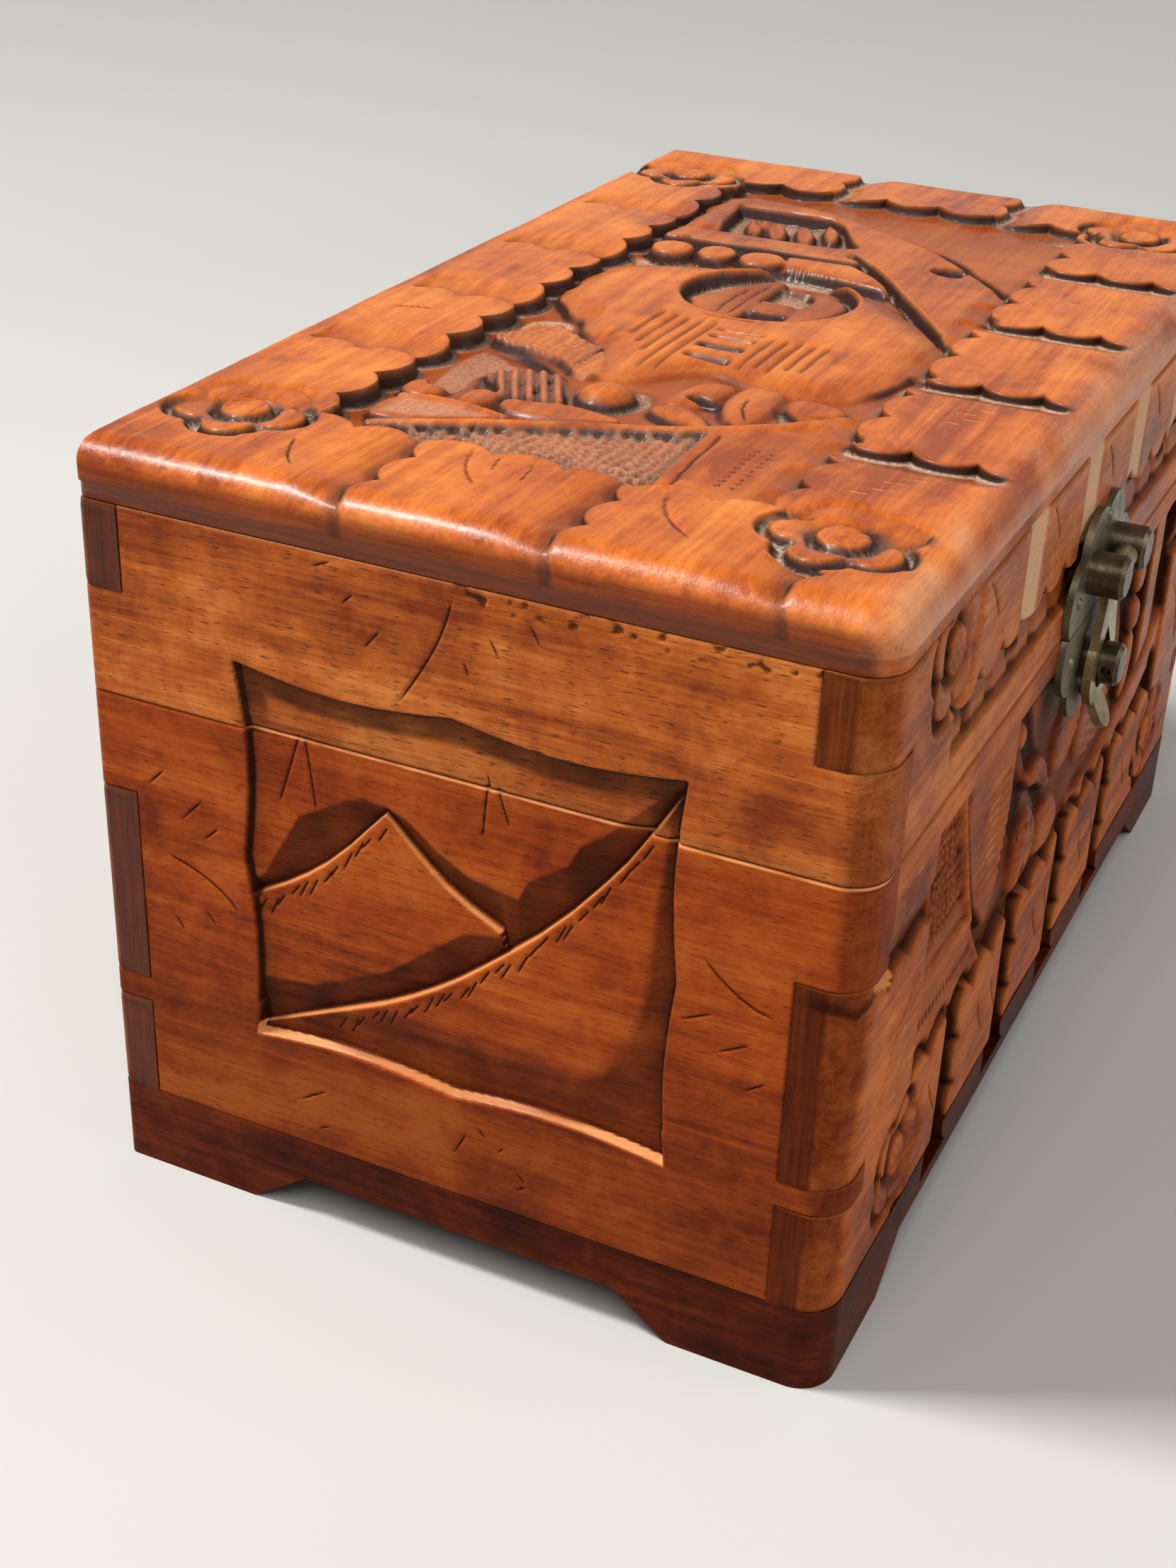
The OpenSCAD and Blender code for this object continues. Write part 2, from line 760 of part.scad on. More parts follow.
// A post with a bevelled face and a rivet shank that fills the plate's hole.
module post() {
    bevel = 0.7;
    translate([0, plate_y, 0]) rotate([90, 0, 0]) rotate_extrude()
        polygon([
            [0, -plate_t], [rivet_r, -plate_t], [rivet_r, 0], [post_r, 0],
            [post_r, post_len - bevel], [post_r - bevel, post_len], [0, post_len]
        ]);
}

// A post that is drilled across for the hasp's pin.
module hasp_post(side) {
    centred() color(brass) translate([side * post_gap / 2, 0, pin_z]) difference() {
        post();
        translate([0, pin_y, 0]) rotate([0, 90, 0])
            cylinder(r = hasp_pin_r + running, h = 4 * post_r, center = true);
    }
}

module hasp_post_left() {
    hasp_post(-1);
}

module hasp_post_right() {
    hasp_post(1);
}

// The lower post, drilled across for a small lock.
module lock_post() {
    centred() color(brass) translate([0, 0, lock_z]) difference() {
        post();
        translate([0, plate_y - post_len + 2, 0]) rotate([0, 90, 0])
            cylinder(r = 0.9, h = 4 * post_r, center = true);
    }
}

module hasp_pin() {
    centred() color(brass) translate([0, pin_y, pin_z]) rotate([0, 90, 0])
        cylinder(r = hasp_pin_r, h = post_gap + 2 * post_r - 0.4, center = true);
}

// The middle of the hasp's ring below its pin, just under the lock post's so that the ring swings clear.
ring_z = lock_z - pin_z - 0.1;

// The hasp seen from the front, from the pin's height downwards.
module hasp_outline() {
    slot_r = post_r + 0.7;
    neck_z = -1.2 * post_r;
    cheek_w = 0.82 * ring_r;
    cheek_z = ring_z + 0.58 * ring_r;
    point_w = 0.8 * slot_r;
    point_z = ring_z + 0.6 * slot_r;
    difference() {
        union() {
            translate([-hasp_wid / 2, ring_z]) square([hasp_wid, -ring_z]);
            polygon([[-hasp_wid / 2, neck_z], [hasp_wid / 2, neck_z], [cheek_w, cheek_z], [-cheek_w, cheek_z]]);
            translate([0, ring_z]) circle(r = ring_r);
        }
        translate([0, ring_z]) circle(r = slot_r);
        polygon([[-point_w, point_z], [0, ring_z + 0.9 * ring_r], [point_w, point_z]]);
    }
}

// The hasp's tongue before it is turned out: a short strip with a round end.
module tongue_outline() {
    translate([-tongue_wid / 2, -tongue_wid / 2]) square([tongue_wid, tongue_wid * 0.7]);
    translate([0, -tongue_wid / 2]) circle(r = tongue_wid / 2);
}

// The hasp: a rolled eye round the pin, the slotted ring over the lock post and a turned-out tongue.
module hasp() {
    front_y = eye_r - hasp_t;
    centred() color(brass) translate([0, pin_y, pin_z]) difference() {
        union() {
            rotate([0, 90, 0]) cylinder(r = eye_r, h = hasp_wid, center = true);
            translate([0, front_y, 0]) rotate([-90, 0, 0]) linear_extrude(hasp_t)
                mirror([0, 1]) hasp_outline();
            translate([0, front_y, ring_z - 0.8 * ring_r]) rotate([-tongue_tilt, 0, 0]) rotate([-90, 0, 0])
                linear_extrude(hasp_t) mirror([0, 1]) tongue_outline();
        }
        rotate([0, 90, 0]) cylinder(r = hasp_pin_r + running, h = 3 * hasp_wid, center = true);
    }
}

// A round-headed nail that is driven in along -Z from its head at Z = 0.
module nail() {
    rotate_extrude() polygon([
        [0, -nail_len], [nail_r, 1 - nail_len], [nail_r, 0], [nail_head_r, 0], [0.7, 0.45], [0, 0.55]
    ]);
}

// Nails through the front plates at the given places, from the seam's middle.
module plate_nails(places) {
    centred() color(brass) for (p = places)
        translate([p[0], plate_y, seam_z + p[1]]) rotate([90, 0, 0]) nail();
}

module clasp_upper_nails() {
    plate_nails(upper_nails);
}

module clasp_lower_nails() {
    plate_nails(lower_nails);
}

// Hinges

hinge_x = half_len - hinge_inset;
hinge_y = half_wid + gap + knuckle_r;
knuckle_len = leaf_len / 3;

// The leaf below the hinge line, which carries the two outer knuckles.
module body_leaf() {
    centred() color(brass) difference() {
        union() {
            block([-leaf_len / 2, half_wid, -leaf_h], [leaf_len / 2, half_wid + leaf_t, -knuckle_r - gap]);
            for (s = [-1, 1]) translate([s * knuckle_len, 0, 0]) knuckle(-1);
        }
        leaf_bores(-1);
    }
}

// The leaf above the hinge line, which carries the middle knuckle.
module lid_leaf() {
    centred() color(brass) difference() {
        union() {
            block([-leaf_len / 2, half_wid, knuckle_r + gap], [leaf_len / 2, half_wid + leaf_t, leaf_h]);
            knuckle(1);
        }
        leaf_bores(1);
    }
}

// A knuckle round the hinge line, with the tongue of leaf that joins it.
module knuckle(side) {
    len = knuckle_len - gap / 2;
    translate([0, hinge_y, 0]) rotate([0, 90, 0]) cylinder(r = knuckle_r, h = len, center = true);
    translate([-len / 2, half_wid, side > 0 ? 0 : -knuckle_r - gap - eps])
        cube([len, leaf_t, knuckle_r + gap + eps]);
}

// The bore for the pin and the holes for the nails of one leaf.
module leaf_bores(side) {
    translate([0, hinge_y, 0]) rotate([0, 90, 0])
        cylinder(r = hinge_pin_r + running, h = 2 * leaf_len, center = true);
    for (p = leaf_nails)
        translate([p[0], half_wid - cut, side * p[1]]) rotate([-90, 0, 0])
            cylinder(r = nail_r + nail_fit, h = leaf_t + 2 * cut);
}

leaf_nails = [[-leaf_len / 2 + 4, 5.4], [0, leaf_h - 3.4], [leaf_len / 2 - 4, 5.4]];

// Nails through both leaves on one side of the hinge line.
module hinge_nails(side) {
    centred() color(brass) for (h = [-1, 1], p = leaf_nails)
        translate([h * hinge_x + p[0], half_wid + leaf_t, seam_z + side * p[1]])
            rotate([-90, 0, 0]) nail_short();
}

// A nail short enough to stay inside the thin back board.
module nail_short() {
    rotate_extrude() polygon([
        [0, -5], [nail_r, -4.2], [nail_r, 0], [nail_head_r, 0], [0.7, 0.45], [0, 0.55]
    ]);
}

module hinge_pin() {
    centred() color(brass) translate([0, hinge_y, 0]) rotate([0, 90, 0])
        cylinder(r = hinge_pin_r, h = leaf_len, center = true);
}

module left_hinge_body_leaf() {
    translate([-hinge_x, 0, seam_z]) body_leaf();
}

module left_hinge_lid_leaf() {
    translate([-hinge_x, 0, seam_z]) lid_leaf();
}

module left_hinge_pin() {
    translate([-hinge_x, 0, seam_z]) hinge_pin();
}

module right_hinge_body_leaf() {
    translate([hinge_x, 0, seam_z]) body_leaf();
}

module right_hinge_lid_leaf() {
    translate([hinge_x, 0, seam_z]) lid_leaf();
}

module right_hinge_pin() {
    translate([hinge_x, 0, seam_z]) hinge_pin();
}

module hinge_body_nails() {
    hinge_nails(-1);
}

module hinge_lid_nails() {
    hinge_nails(1);
}

front_board();
back_board();
left_end_board();
right_end_board();
base_board();
foot_front_left();
foot_front_right();
foot_back_left();
foot_back_right();
top_board();
lid_front_board();
lid_back_board();
lid_left_end();
lid_right_end();
clasp_upper_plate();
clasp_lower_plate();
hasp_post_left();
hasp_post_right();
lock_post();
hasp();
hasp_pin();
clasp_upper_nails();
clasp_lower_nails();
left_hinge_body_leaf();
left_hinge_lid_leaf();
left_hinge_pin();
right_hinge_body_leaf();
right_hinge_lid_leaf();
right_hinge_pin();
hinge_body_nails();
hinge_lid_nails();
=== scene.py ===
import math

import bpy
import numpy as np
from mathutils import Matrix, Vector


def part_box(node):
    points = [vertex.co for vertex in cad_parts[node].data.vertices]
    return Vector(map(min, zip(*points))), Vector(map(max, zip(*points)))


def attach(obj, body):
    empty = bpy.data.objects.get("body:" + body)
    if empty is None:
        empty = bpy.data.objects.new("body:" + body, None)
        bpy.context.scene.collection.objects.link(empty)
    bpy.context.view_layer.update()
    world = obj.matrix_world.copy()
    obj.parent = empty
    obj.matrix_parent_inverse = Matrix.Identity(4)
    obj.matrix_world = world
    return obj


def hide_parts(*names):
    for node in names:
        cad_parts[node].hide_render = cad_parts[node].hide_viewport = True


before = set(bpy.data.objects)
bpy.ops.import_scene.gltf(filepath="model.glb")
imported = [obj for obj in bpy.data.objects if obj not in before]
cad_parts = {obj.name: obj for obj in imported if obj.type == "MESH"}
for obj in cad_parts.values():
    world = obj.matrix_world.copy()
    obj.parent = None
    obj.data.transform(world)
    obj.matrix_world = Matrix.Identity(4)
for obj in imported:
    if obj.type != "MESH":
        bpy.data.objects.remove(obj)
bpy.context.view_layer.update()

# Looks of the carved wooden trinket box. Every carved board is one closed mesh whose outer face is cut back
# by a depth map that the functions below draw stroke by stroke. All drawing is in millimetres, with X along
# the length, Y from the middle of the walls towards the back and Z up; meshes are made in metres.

MM = 0.001


def cad_box(node):
    """A CAD node's lowest and highest corners, in mm."""
    low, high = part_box(node)
    return np.array(low) / MM, np.array(high) / MM


BASE_LOW, BASE_HIGH = cad_box("base_board")
TOP_LOW, TOP_HIGH = cad_box("top_board")
FRONT_LOW, FRONT_HIGH = cad_box("front_board")
BACK_LOW, BACK_HIGH = cad_box("back_board")
END_LOW, END_HIGH = cad_box("left_end_board")

HALF_LEN = BASE_HIGH[0]
WALL_MID = (BASE_LOW[1] + BASE_HIGH[1]) / 2
HALF_WID = (BASE_HIGH[1] - BASE_LOW[1]) / 2
FRONT_T = FRONT_HIGH[1] - FRONT_LOW[1]
BACK_T = BACK_HIGH[1] - BACK_LOW[1]
END_T = END_HIGH[0] - END_LOW[0]
WALL_Z = BASE_HIGH[2]
SEAM_Z = END_HIGH[2]
TOP_Z = TOP_LOW[2]
CROWN_Z = TOP_HIGH[2]
CORNER_R = 6.0
BACK_R = 1.5
EDGE_R = 6.0
# The heights between which a front or back board has a finger at each corner.
BODY_FINGERS = [(WALL_Z, WALL_Z + 18.2), (WALL_Z + 22.9, WALL_Z + 57.4)]
LID_FINGERS = [(TOP_Z - 13.7, TOP_Z)]
SCALLOP_PITCH = 11.57
SCALLOP_RISE = 3.1


# Small tools for drawing depth maps

def smooth(x):
    """0 below 0, 1 above 1 and a soft step between."""
    x = np.clip(x, 0, 1)
    return x * x * (3 - 2 * x)


def blur(values, reach):
    """A soft mean over about reach cells each way."""
    for axis in (0, 1):
        for _ in range(2):
            padded = np.concatenate([
                np.repeat(values.take([0], axis), reach + 1, axis), values,
                np.repeat(values.take([-1], axis), reach, axis)], axis)
            total = padded.cumsum(axis)
            size = values.shape[axis]
            high = total.take(range(2 * reach + 1, 2 * reach + 1 + size), axis)
            low = total.take(range(0, size), axis)
            values = (high - low) / (2 * reach + 1)
    return values


def waves(x, y, size, seed):
    """Smooth bumps of about -1 to 1, with no direction, that repeat nowhere near."""
    draw = np.random.RandomState(seed)
    total = np.zeros_like(x)
    for _ in range(7):
        turn = draw.uniform(0, 2 * math.pi)
        length = size * draw.uniform(0.7, 1.6)
        shift = draw.uniform(0, 2 * math.pi)
        total += np.sin((x * math.cos(turn) + y * math.sin(turn)) * 2 * math.pi / length + shift)
    return total / 3.5


def from_line(x, y, points):
    """Distance to a line of points, and how far along it the nearest place is, from 0 to 1."""
    best = np.full(x.shape, 1e9)
    along = np.zeros(x.shape)
    steps = [math.dist(a, b) for a, b in zip(points, points[1:])]
    gone = 0.0
    for (ax, ay), (bx, by), step in zip(points, points[1:], steps):
        share = np.clip(((x - ax) * (bx - ax) + (y - ay) * (by - ay)) / max(step * step, 1e-9), 0, 1)
        gap = np.hypot(x - ax - share * (bx - ax), y - ay - share * (by - ay))
        nearer = gap < best
        best = np.where(nearer, gap, best)
        along = np.where(nearer, (gone + share * step) / sum(steps), along)
        gone += step
    return best, along


def from_outline(x, y, points):
    """Distance to a closed outline, negative inside it."""
    gap, _ = from_line(x, y, points + points[:1])
    inside = np.zeros(x.shape, bool)
    for (ax, ay), (bx, by) in zip(points, points[1:] + points[:1]):
        if ay != by:
            crosses = (ay > y) != (by > y)
            inside ^= crosses & (x < (bx - ax) * (y - ay) / (by - ay) + ax)
    return np.where(inside, -gap, gap)


def quarter_points(points):
    """Two points on each stretch of a line, a quarter of the stretch from either end."""
    return [(ax * a + bx * b, ay * a + by * b)
            for (ax, ay), (bx, by) in zip(points, points[1:]) for a, b in ((0.75, 0.25), (0.25, 0.75))]


def rounded(points):
    """A closed outline with its corners cut off twice, which makes it a soft curve."""
    for _ in range(2):
        points = quarter_points(points + points[:1])
    return points


def curve(points, passes=2):
    """An open line with its inner corners cut off again and again."""
    for _ in range(passes):
        points = [points[0]] + quarter_points(points) + [points[-1]]
    return points


def oval(x0, y0, rx, ry, count):
    """An ellipse as a number of points."""
    turns = np.linspace(0, 2 * math.pi, count + 1)[:-1]
    return [(x0 + rx * math.cos(a), y0 + ry * math.sin(a)) for a in turns]


def eased(values):
    """Each value mixed with its neighbours, so that no wall is thinner than the grid can show."""
    for axis in (0, 1):
        last = values.shape[axis] - 1
        low = values.take(np.maximum(np.arange(last + 1) - 1, 0), axis)
        high = values.take(np.minimum(np.arange(last + 1) + 1, last), axis)
        values = values / 2 + (low + high) / 4
    return values


def lobes(t, pitch, rise):
    """How far a row of round lobes stands out at t along it, 0 in the cusps and rise at the tips."""
    r = pitch * pitch / (8 * rise) + rise / 2
    off = (t / pitch - np.floor(t / pitch) - 0.5) * pitch
    return np.sqrt(np.maximum(r * r - off * off, 0)) - (r - rise)


class Relief:
    """One board's face as a grid: how far each point is cut back, in mm, how dusty it is, how much painted
    shade it gets, and how pale it is where the wood is rubbed clean or takes a painted highlight.

    The methods draw one tool's cut or one raised form at a time, and each touches only the grid around it.
    """

    def __init__(self, across, up, upright=True):
        self.x, self.y = np.meshgrid(across, up)
        self.upright = upright
        self.depth, self.dust, self.ink, self.bare = (np.zeros_like(self.x) for _ in range(4))

    def near(self, x0, y0, x1, y1):
        """The part of the map between two corners, as slices, which are empty if the map has none of it."""
        found = (self.y >= y0) & (self.y <= y1) & (self.x >= x0) & (self.x <= x1)
        rows, cols = np.flatnonzero(found.any(axis=1)), np.flatnonzero(found.any(axis=0))
        if not len(rows):
            return slice(0), slice(0)
        return slice(rows[0], rows[-1] + 1), slice(cols[0], cols[-1] + 1)

    def window(self, points, margin):
        """The part of the map around a set of points."""
        xs, ys = zip(*points)
        return self.near(min(xs) - margin, min(ys) - margin, max(xs) + margin, max(ys) + margin)

    def around(self, outline, margin=1):
        """The part of the map around an outline and the distance from it there, negative inside."""
        here = self.window(outline, margin)
        return here, from_outline(self.x[here], self.y[here], outline)

    def most(self, where=True, **layers):
        """Lifts each named layer to the values given for it, where it is lower."""
        for name, values in layers.items():
            held = getattr(self, name)
            setattr(self, name, np.where(where, np.maximum(held, values), held))

    def groove(self, points, width, deep, ends=0.25, dust=0.0, ink=0.75, bare=0.0):
        """A cut along a line, V-shaped with soft lips and running out at its ends."""
        here = self.window(points, width)
        gap, along = from_line(self.x[here], self.y[here], points)
        cut = smooth(1 - gap * 2 / width) * smooth(along / ends) * smooth((1 - along) / ends)
        self.depth[here] += deep * cut
        self.dust[here] = np.maximum(self.dust[here], dust * cut)
        # The cut is darkened with painted shade, or made pale where the wood is rubbed clean or takes a
        # painted highlight.
        self.ink[here] = np.maximum(self.ink[here], ink * smooth(cut * 1.4 - 0.2))
        self.bare[here] = np.maximum(self.bare[here], bare * smooth(cut * 1.4 - 0.2))

    def ridge(self, points, width, level):
        """A raised line that stands up to a given depth below the face."""
        here = self.window(points, width)
        gap, _ = from_line(self.x[here], self.y[here], points)
        body = smooth(1.6 - gap * 2 / width)
        lower = self.depth[here] > level
        self.depth[here] = np.where(lower, self.depth[here] * (1 - body) + level * body, self.depth[here])

    def form(self, outline, level, edge=0.6, dome=0.0, reach=3.0, tilt=(0, 0), soft=True):
        """Stands a form up to a level: flat, or domed towards its edge, or tilted."""
        outline = rounded(outline) if soft else outline
        here, gap = self.around(outline, edge + 1)
        mid = np.mean(outline, axis=0)
        body = smooth(0.5 - gap / edge)
        top = level + dome * (1 - smooth(-gap / reach)) ** 2
        top = top + tilt[0] * (self.x[here] - mid[0]) + tilt[1] * (self.y[here] - mid[1])
        self.depth[here] = self.depth[here] * (1 - body) + top * body
        self.dust[here] *= 1 - body

    def sink(self, outline, level, edge=0.7, soft=True, dust=0.0):
        """Cuts a hollow down to a level."""
        outline = rounded(outline) if soft else outline
        here, gap = self.around(outline, edge + 1)
        body = smooth(0.5 - gap / edge)
        self.depth[here] = np.maximum(self.depth[here], self.depth[here] * (1 - body) + level * body)
        self.dust[here] = np.maximum(self.dust[here], dust * body)

    def hatch(self, outline, turn, pitch, deep, share=0.5):
        """Parallel cuts inside an outline, turned by some degrees from the X axis."""
        here, gap = self.around(outline)
        body = smooth(0.3 - gap / 1.2)
        angle = math.radians(turn)
        across = -self.x[here] * math.sin(angle) + self.y[here] * math.cos(angle)
        line = np.abs(across / pitch - np.round(across / pitch)) * 2
        self.depth[here] += deep * body * smooth(1 - line / share)

    def punch(self, outline, pitch, deep, dust=0.0, ink=0.0):
        """A field of small pits from a punch, in slanting rows that wander a little."""
        here, gap = self.around(outline)
        x, y = self.x[here], self.y[here]
        body = smooth(0.2 - gap / 1.4)
        angle = math.radians(45)
        row = (x * math.cos(angle) + y * math.sin(angle)) / pitch + 0.25 * waves(x, y, 9, 5)
        column = (-x * math.sin(angle) + y * math.cos(angle)) / pitch + 0.25 * waves(x, y, 8, 6)
        pit = smooth(np.cos(row * math.pi * 2) * np.cos(column * math.pi * 2) * 1.2 + 0.35)
        self.depth[here] += deep * body * pit
        self.dust[here] = np.maximum(self.dust[here], dust * body)
        # The pits are darkened with painted shade.
        self.ink[here] = np.maximum(self.ink[here], ink * body * pit)

    def blossom(self, x0, y0, radius, dark_way, deep):
        """Five round petals and a cross-hatched heart, cut free on one side and sinking in on the other."""
        here = self.window([(x0, y0)], radius * 1.4)
        x, y = self.x[here] - x0, self.y[here] - y0
        r = np.hypot(x, y)
        side = 0.5 + 0.5 * np.cos(np.arctan2(y, x) - math.radians(dark_way))
        petal_r, petal_at = radius * 0.39, radius * 0.62
        turns = [math.radians(dark_way - 14 + i * 72) for i in range(5)]
        petals = [np.hypot(x - petal_at * math.cos(turn), y - petal_at * math.sin(turn)) - petal_r
                  for turn in turns]
        outline = np.minimum(np.min(petals, axis=0), r - radius * 0.4)
        soft = 0.6 + 2.0 * (1 - side)
        trench = smooth((0.5 + 1.9 * side ** 1.5 + 1.6 * (1 - side) - outline) / soft)
        low = 0.7 + (deep - 0.4) * side ** 0.8
        depth = self.depth[here] * (1 - trench) + np.maximum(low, self.depth[here]) * trench
        dust = 0.9 * trench * smooth(side * 1.6 - 0.3)
        ink = 0.35 * trench * smooth(side * 1.6 - 0.5)
        # Each petal overlaps the next, so that its own far edge dips under its neighbour.
        for turn, gap in zip(turns, petals):
            body = smooth(0.5 - gap / 0.4)
            dip = smooth(0.5 + (x * math.sin(turn) - y * math.cos(turn)) / (petal_r * 1.6))
            dish = smooth((petal_at + 1.4 - r) / 3.6)
            level = 0.05 + 0.35 * dip + 0.8 * dish + 0.2 * (1 - side)
            depth = depth * (1 - body) + level * body
            dust = dust * (1 - body) + 0.5 * body * dish * side
            ink = ink * (1 - body)
        ring = smooth(1.5 - np.abs(r - radius * 0.43) / 0.5) * (0.3 + 0.7 * smooth(side * 1.5))
        depth = depth + 1.2 * ring
        heart = smooth(0.5 + (radius * 0.37 - r) / 0.4)
        cuts = smooth(1 - np.abs(((x * 0.8 + y * 0.6) / 1.8) % 1 - 0.5) * 4) * 0.35
        cuts = cuts + smooth(1 - np.abs(((x * 0.6 - y * 0.8) / 1.8) % 1 - 0.5) * 4) * 0.25
        self.depth[here] = depth * (1 - heart) + (0.05 + cuts) * heart
        self.dust[here] = np.maximum(self.dust[here] * (1 - trench), dust * (1 - heart))
        # The trench's deep side and the ring round the heart are darkened with painted shade.
        self.ink[here] = np.maximum(self.ink[here] * (1 - trench), np.maximum(ink, 0.6 * ring) * (1 - heart))


# Grids and board meshes

def lines(start, stop, step, stops=(), beside=0.12):
    """Grid lines from start to stop that meet every stop, with two extra lines close beside each."""
    ends = sorted({start, stop, *[s for s in stops if start < s < stop]})
    found = set()
    for a, b in zip(ends, ends[1:]):
        count = max(1, round((b - a) / step))
        found.update(a + (b - a) * i / count for i in range(count + 1))
        if b - a > 2:
            found.update([a + beside, b - beside])
    # Lines that differ only by rounding would be one line twice.
    return np.array(sorted({round(v, 4) for v in found}))


def follow(values, line, reach, shift):
    """Bends the grid lines round one line, so that it takes on a curve while those further off hold still."""
    return values + shift * smooth(1 - np.abs(values - line) / reach)


def bent(half, r_low, r_high, step, stops=()):
    """Grid lines from -half to half that are spaced evenly round the curve at each end."""
    def turn(r):
        return r * np.sin(np.linspace(0, math.pi / 2, 5 + round(r * 1.6))[1:])

    low, high = -half + r_low - turn(r_low), half - r_high + turn(r_high)
    return np.concatenate([low[::-1], lines(-half + r_low, half - r_high, step, stops), high])


def curve_drop(over, r):
    """How far a rounded edge has fallen back where a place lies over past the start of its curve."""
    return r - np.sqrt(np.maximum(r * r - np.clip(over, 0, r) ** 2, 0))


def corner_inset(across, half, r_low, r_high):
    """How far the rounded corners lie behind the flat face at a place across it."""
    return curve_drop(across - half + r_high, r_high) + curve_drop(-across - half + r_low, r_low)


def edge_round(relief, rects):
    """Eases the board's own edges, so that every joint shows as a fine groove."""
    size = 0.45
    x, y = relief.x, relief.y
    gap = np.minimum(y - y.min(), y.max() - y)
    for x0, y0, x1, y1 in rects:
        dx = np.maximum(np.maximum(x0 - x, x - x1), 0)
        dy = np.maximum(np.maximum(y0 - y, y - y1), 0)
        gap = np.minimum(gap, np.hypot(dx, dy))
    relief.depth += 0.28 * np.clip(1 - gap / size, 0, 1) ** 2


def carve(relief, draw):
    """Draws a board's relief, with no wall thinner than the grid can show."""
    draw(relief)
    relief.depth = np.maximum(eased(relief.depth), 0)


def new_mesh(name, points, faces, attributes, layout):
    """A mesh object in metres with smooth shading, per-point values for its material and a flat layout."""
    mesh = bpy.data.meshes.new(name)
    counts = np.array([len(f) for f in faces], np.int32)
    mesh.vertices.add(len(points))
    mesh.vertices.foreach_set("co", (np.asarray(points, float) * MM).astype(np.float32).ravel())
    corners = np.fromiter((i for f in faces for i in f), np.int32, int(counts.sum()))
    mesh.loops.add(len(corners))
    mesh.loops.foreach_set("vertex_index", corners)
    mesh.polygons.add(len(faces))
    mesh.polygons.foreach_set("loop_start", np.concatenate([[0], counts.cumsum()[:-1]]).astype(np.int32))
    for key, values in attributes.items():
        layer = mesh.attributes.new(key, "FLOAT", "POINT")
        layer.data.foreach_set("value", np.asarray(values, np.float32))
    uv = mesh.uv_layers.new(name="OFBake")
    uv.data.foreach_set("uv", layout.astype(np.float32).ravel())
    mesh.update(calc_edges=True)
    mesh.validate()
    mesh.shade_smooth()
    piece = bpy.data.objects.new(name, mesh)
    bpy.context.scene.collection.objects.link(piece)
    return piece


def spread(values):
    """Each cell takes the highest value of itself and its neighbours."""
    padded = np.pad(values, 1, mode="edge")
    rows, cols = values.shape
    return np.max([padded[i:i + rows, j:j + cols] for i in range(3) for j in range(3)], axis=0)


def marks(relief, carved=None):
    """What the material needs to know about each point: how deep, hollow, steep and dusty it is, how much
    wear it shows and where a painted highlight falls.
    """
    depth = relief.depth if carved is None else carved
    step = max(np.median(np.diff(relief.x[0])), 0.1)
    close, wide = blur(depth, max(2, round(0.9 / step))), blur(depth, max(4, round(2.6 / step)))
    hollow = depth - 0.5 * close - 0.5 * wide
    lip = blur(depth, max(1, round(0.3 / step))) - depth
    rise, run = np.gradient(depth, relief.y[:, relief.y.shape[1] // 2], relief.x[0])
    steep = np.hypot(rise, run)
    # On an upright board the walls that face up are painted lighter than those that face down: painted light
    # and shade.
    lit = np.zeros_like(depth)
    if relief.upright:
        lit = smooth(rise / np.maximum(steep, 0.01)) * smooth((steep - 0.3) / 0.6)
    # Steep walls and the hollow feet beside them are darkened: painted shade, with some grime.
    wall = smooth((steep - 0.5) / 0.9)
    wall = eased(np.maximum(0.6 * wall, spread(wall) * smooth((hollow + 0.3) / 0.4))) * (1 - 0.35 * lit)
    wall = np.maximum(wall, relief.ink * (1 - 0.5 * lit)) * (1 - relief.bare)
    dust = relief.dust * (1 - smooth((steep - 0.5) / 1.0))
    # Sharp lips are paler from wear, and walls that face up add a painted highlight.
    worn_and_lit = np.maximum(smooth(lip / 0.3 - 0.15), 0.5 * lit)
    return {"hollow": hollow, "cut": depth, "wall": wall, "dust": dust, "worn_and_lit": worn_and_lit, "bare": relief.bare}


def rim_of(quads):
    """The points round the open edge of a grid of faces, in order."""
    edges = np.concatenate([quads[:, [i, (i + 1) % 4]] for i in range(4)])
    pairs = {(a, b) for a, b in edges.tolist()}
    rim = {a: b for a, b in pairs if (b, a) not in pairs}
    loop = [min(rim)]
    while rim[loop[-1]] != loop[0]:
        loop.append(rim[loop[-1]])
    return loop


def flat_layout(x, y, quads, loop, walls):
    """One flat picture of a whole board: its face, a strip for each wall and the inner face."""
    flat = (np.stack([x, y], -1) - [x.min(), y.min()]) / [np.ptp(x), np.ptp(y)]
    layout = [(flat * [1, 0.8] + [0, 0.2])[quads].reshape(-1, 2)]
    strip = np.linspace(0, 1, len(loop) + 1)
    band = 0.045 / walls
    for i in range(walls):
        top, foot = (np.full(len(loop), 0.195 - k * band) for k in (i, i + 1))
        sides = [(strip[1:], top), (strip[:-1], top), (strip[:-1], foot), (strip[1:], foot)]
        layout.append(np.stack([np.stack(s, -1) for s in sides], 1).reshape(-1, 2))
    layout.append((flat[loop] * [1, 0.14])[::-1])
    return np.concatenate(layout)


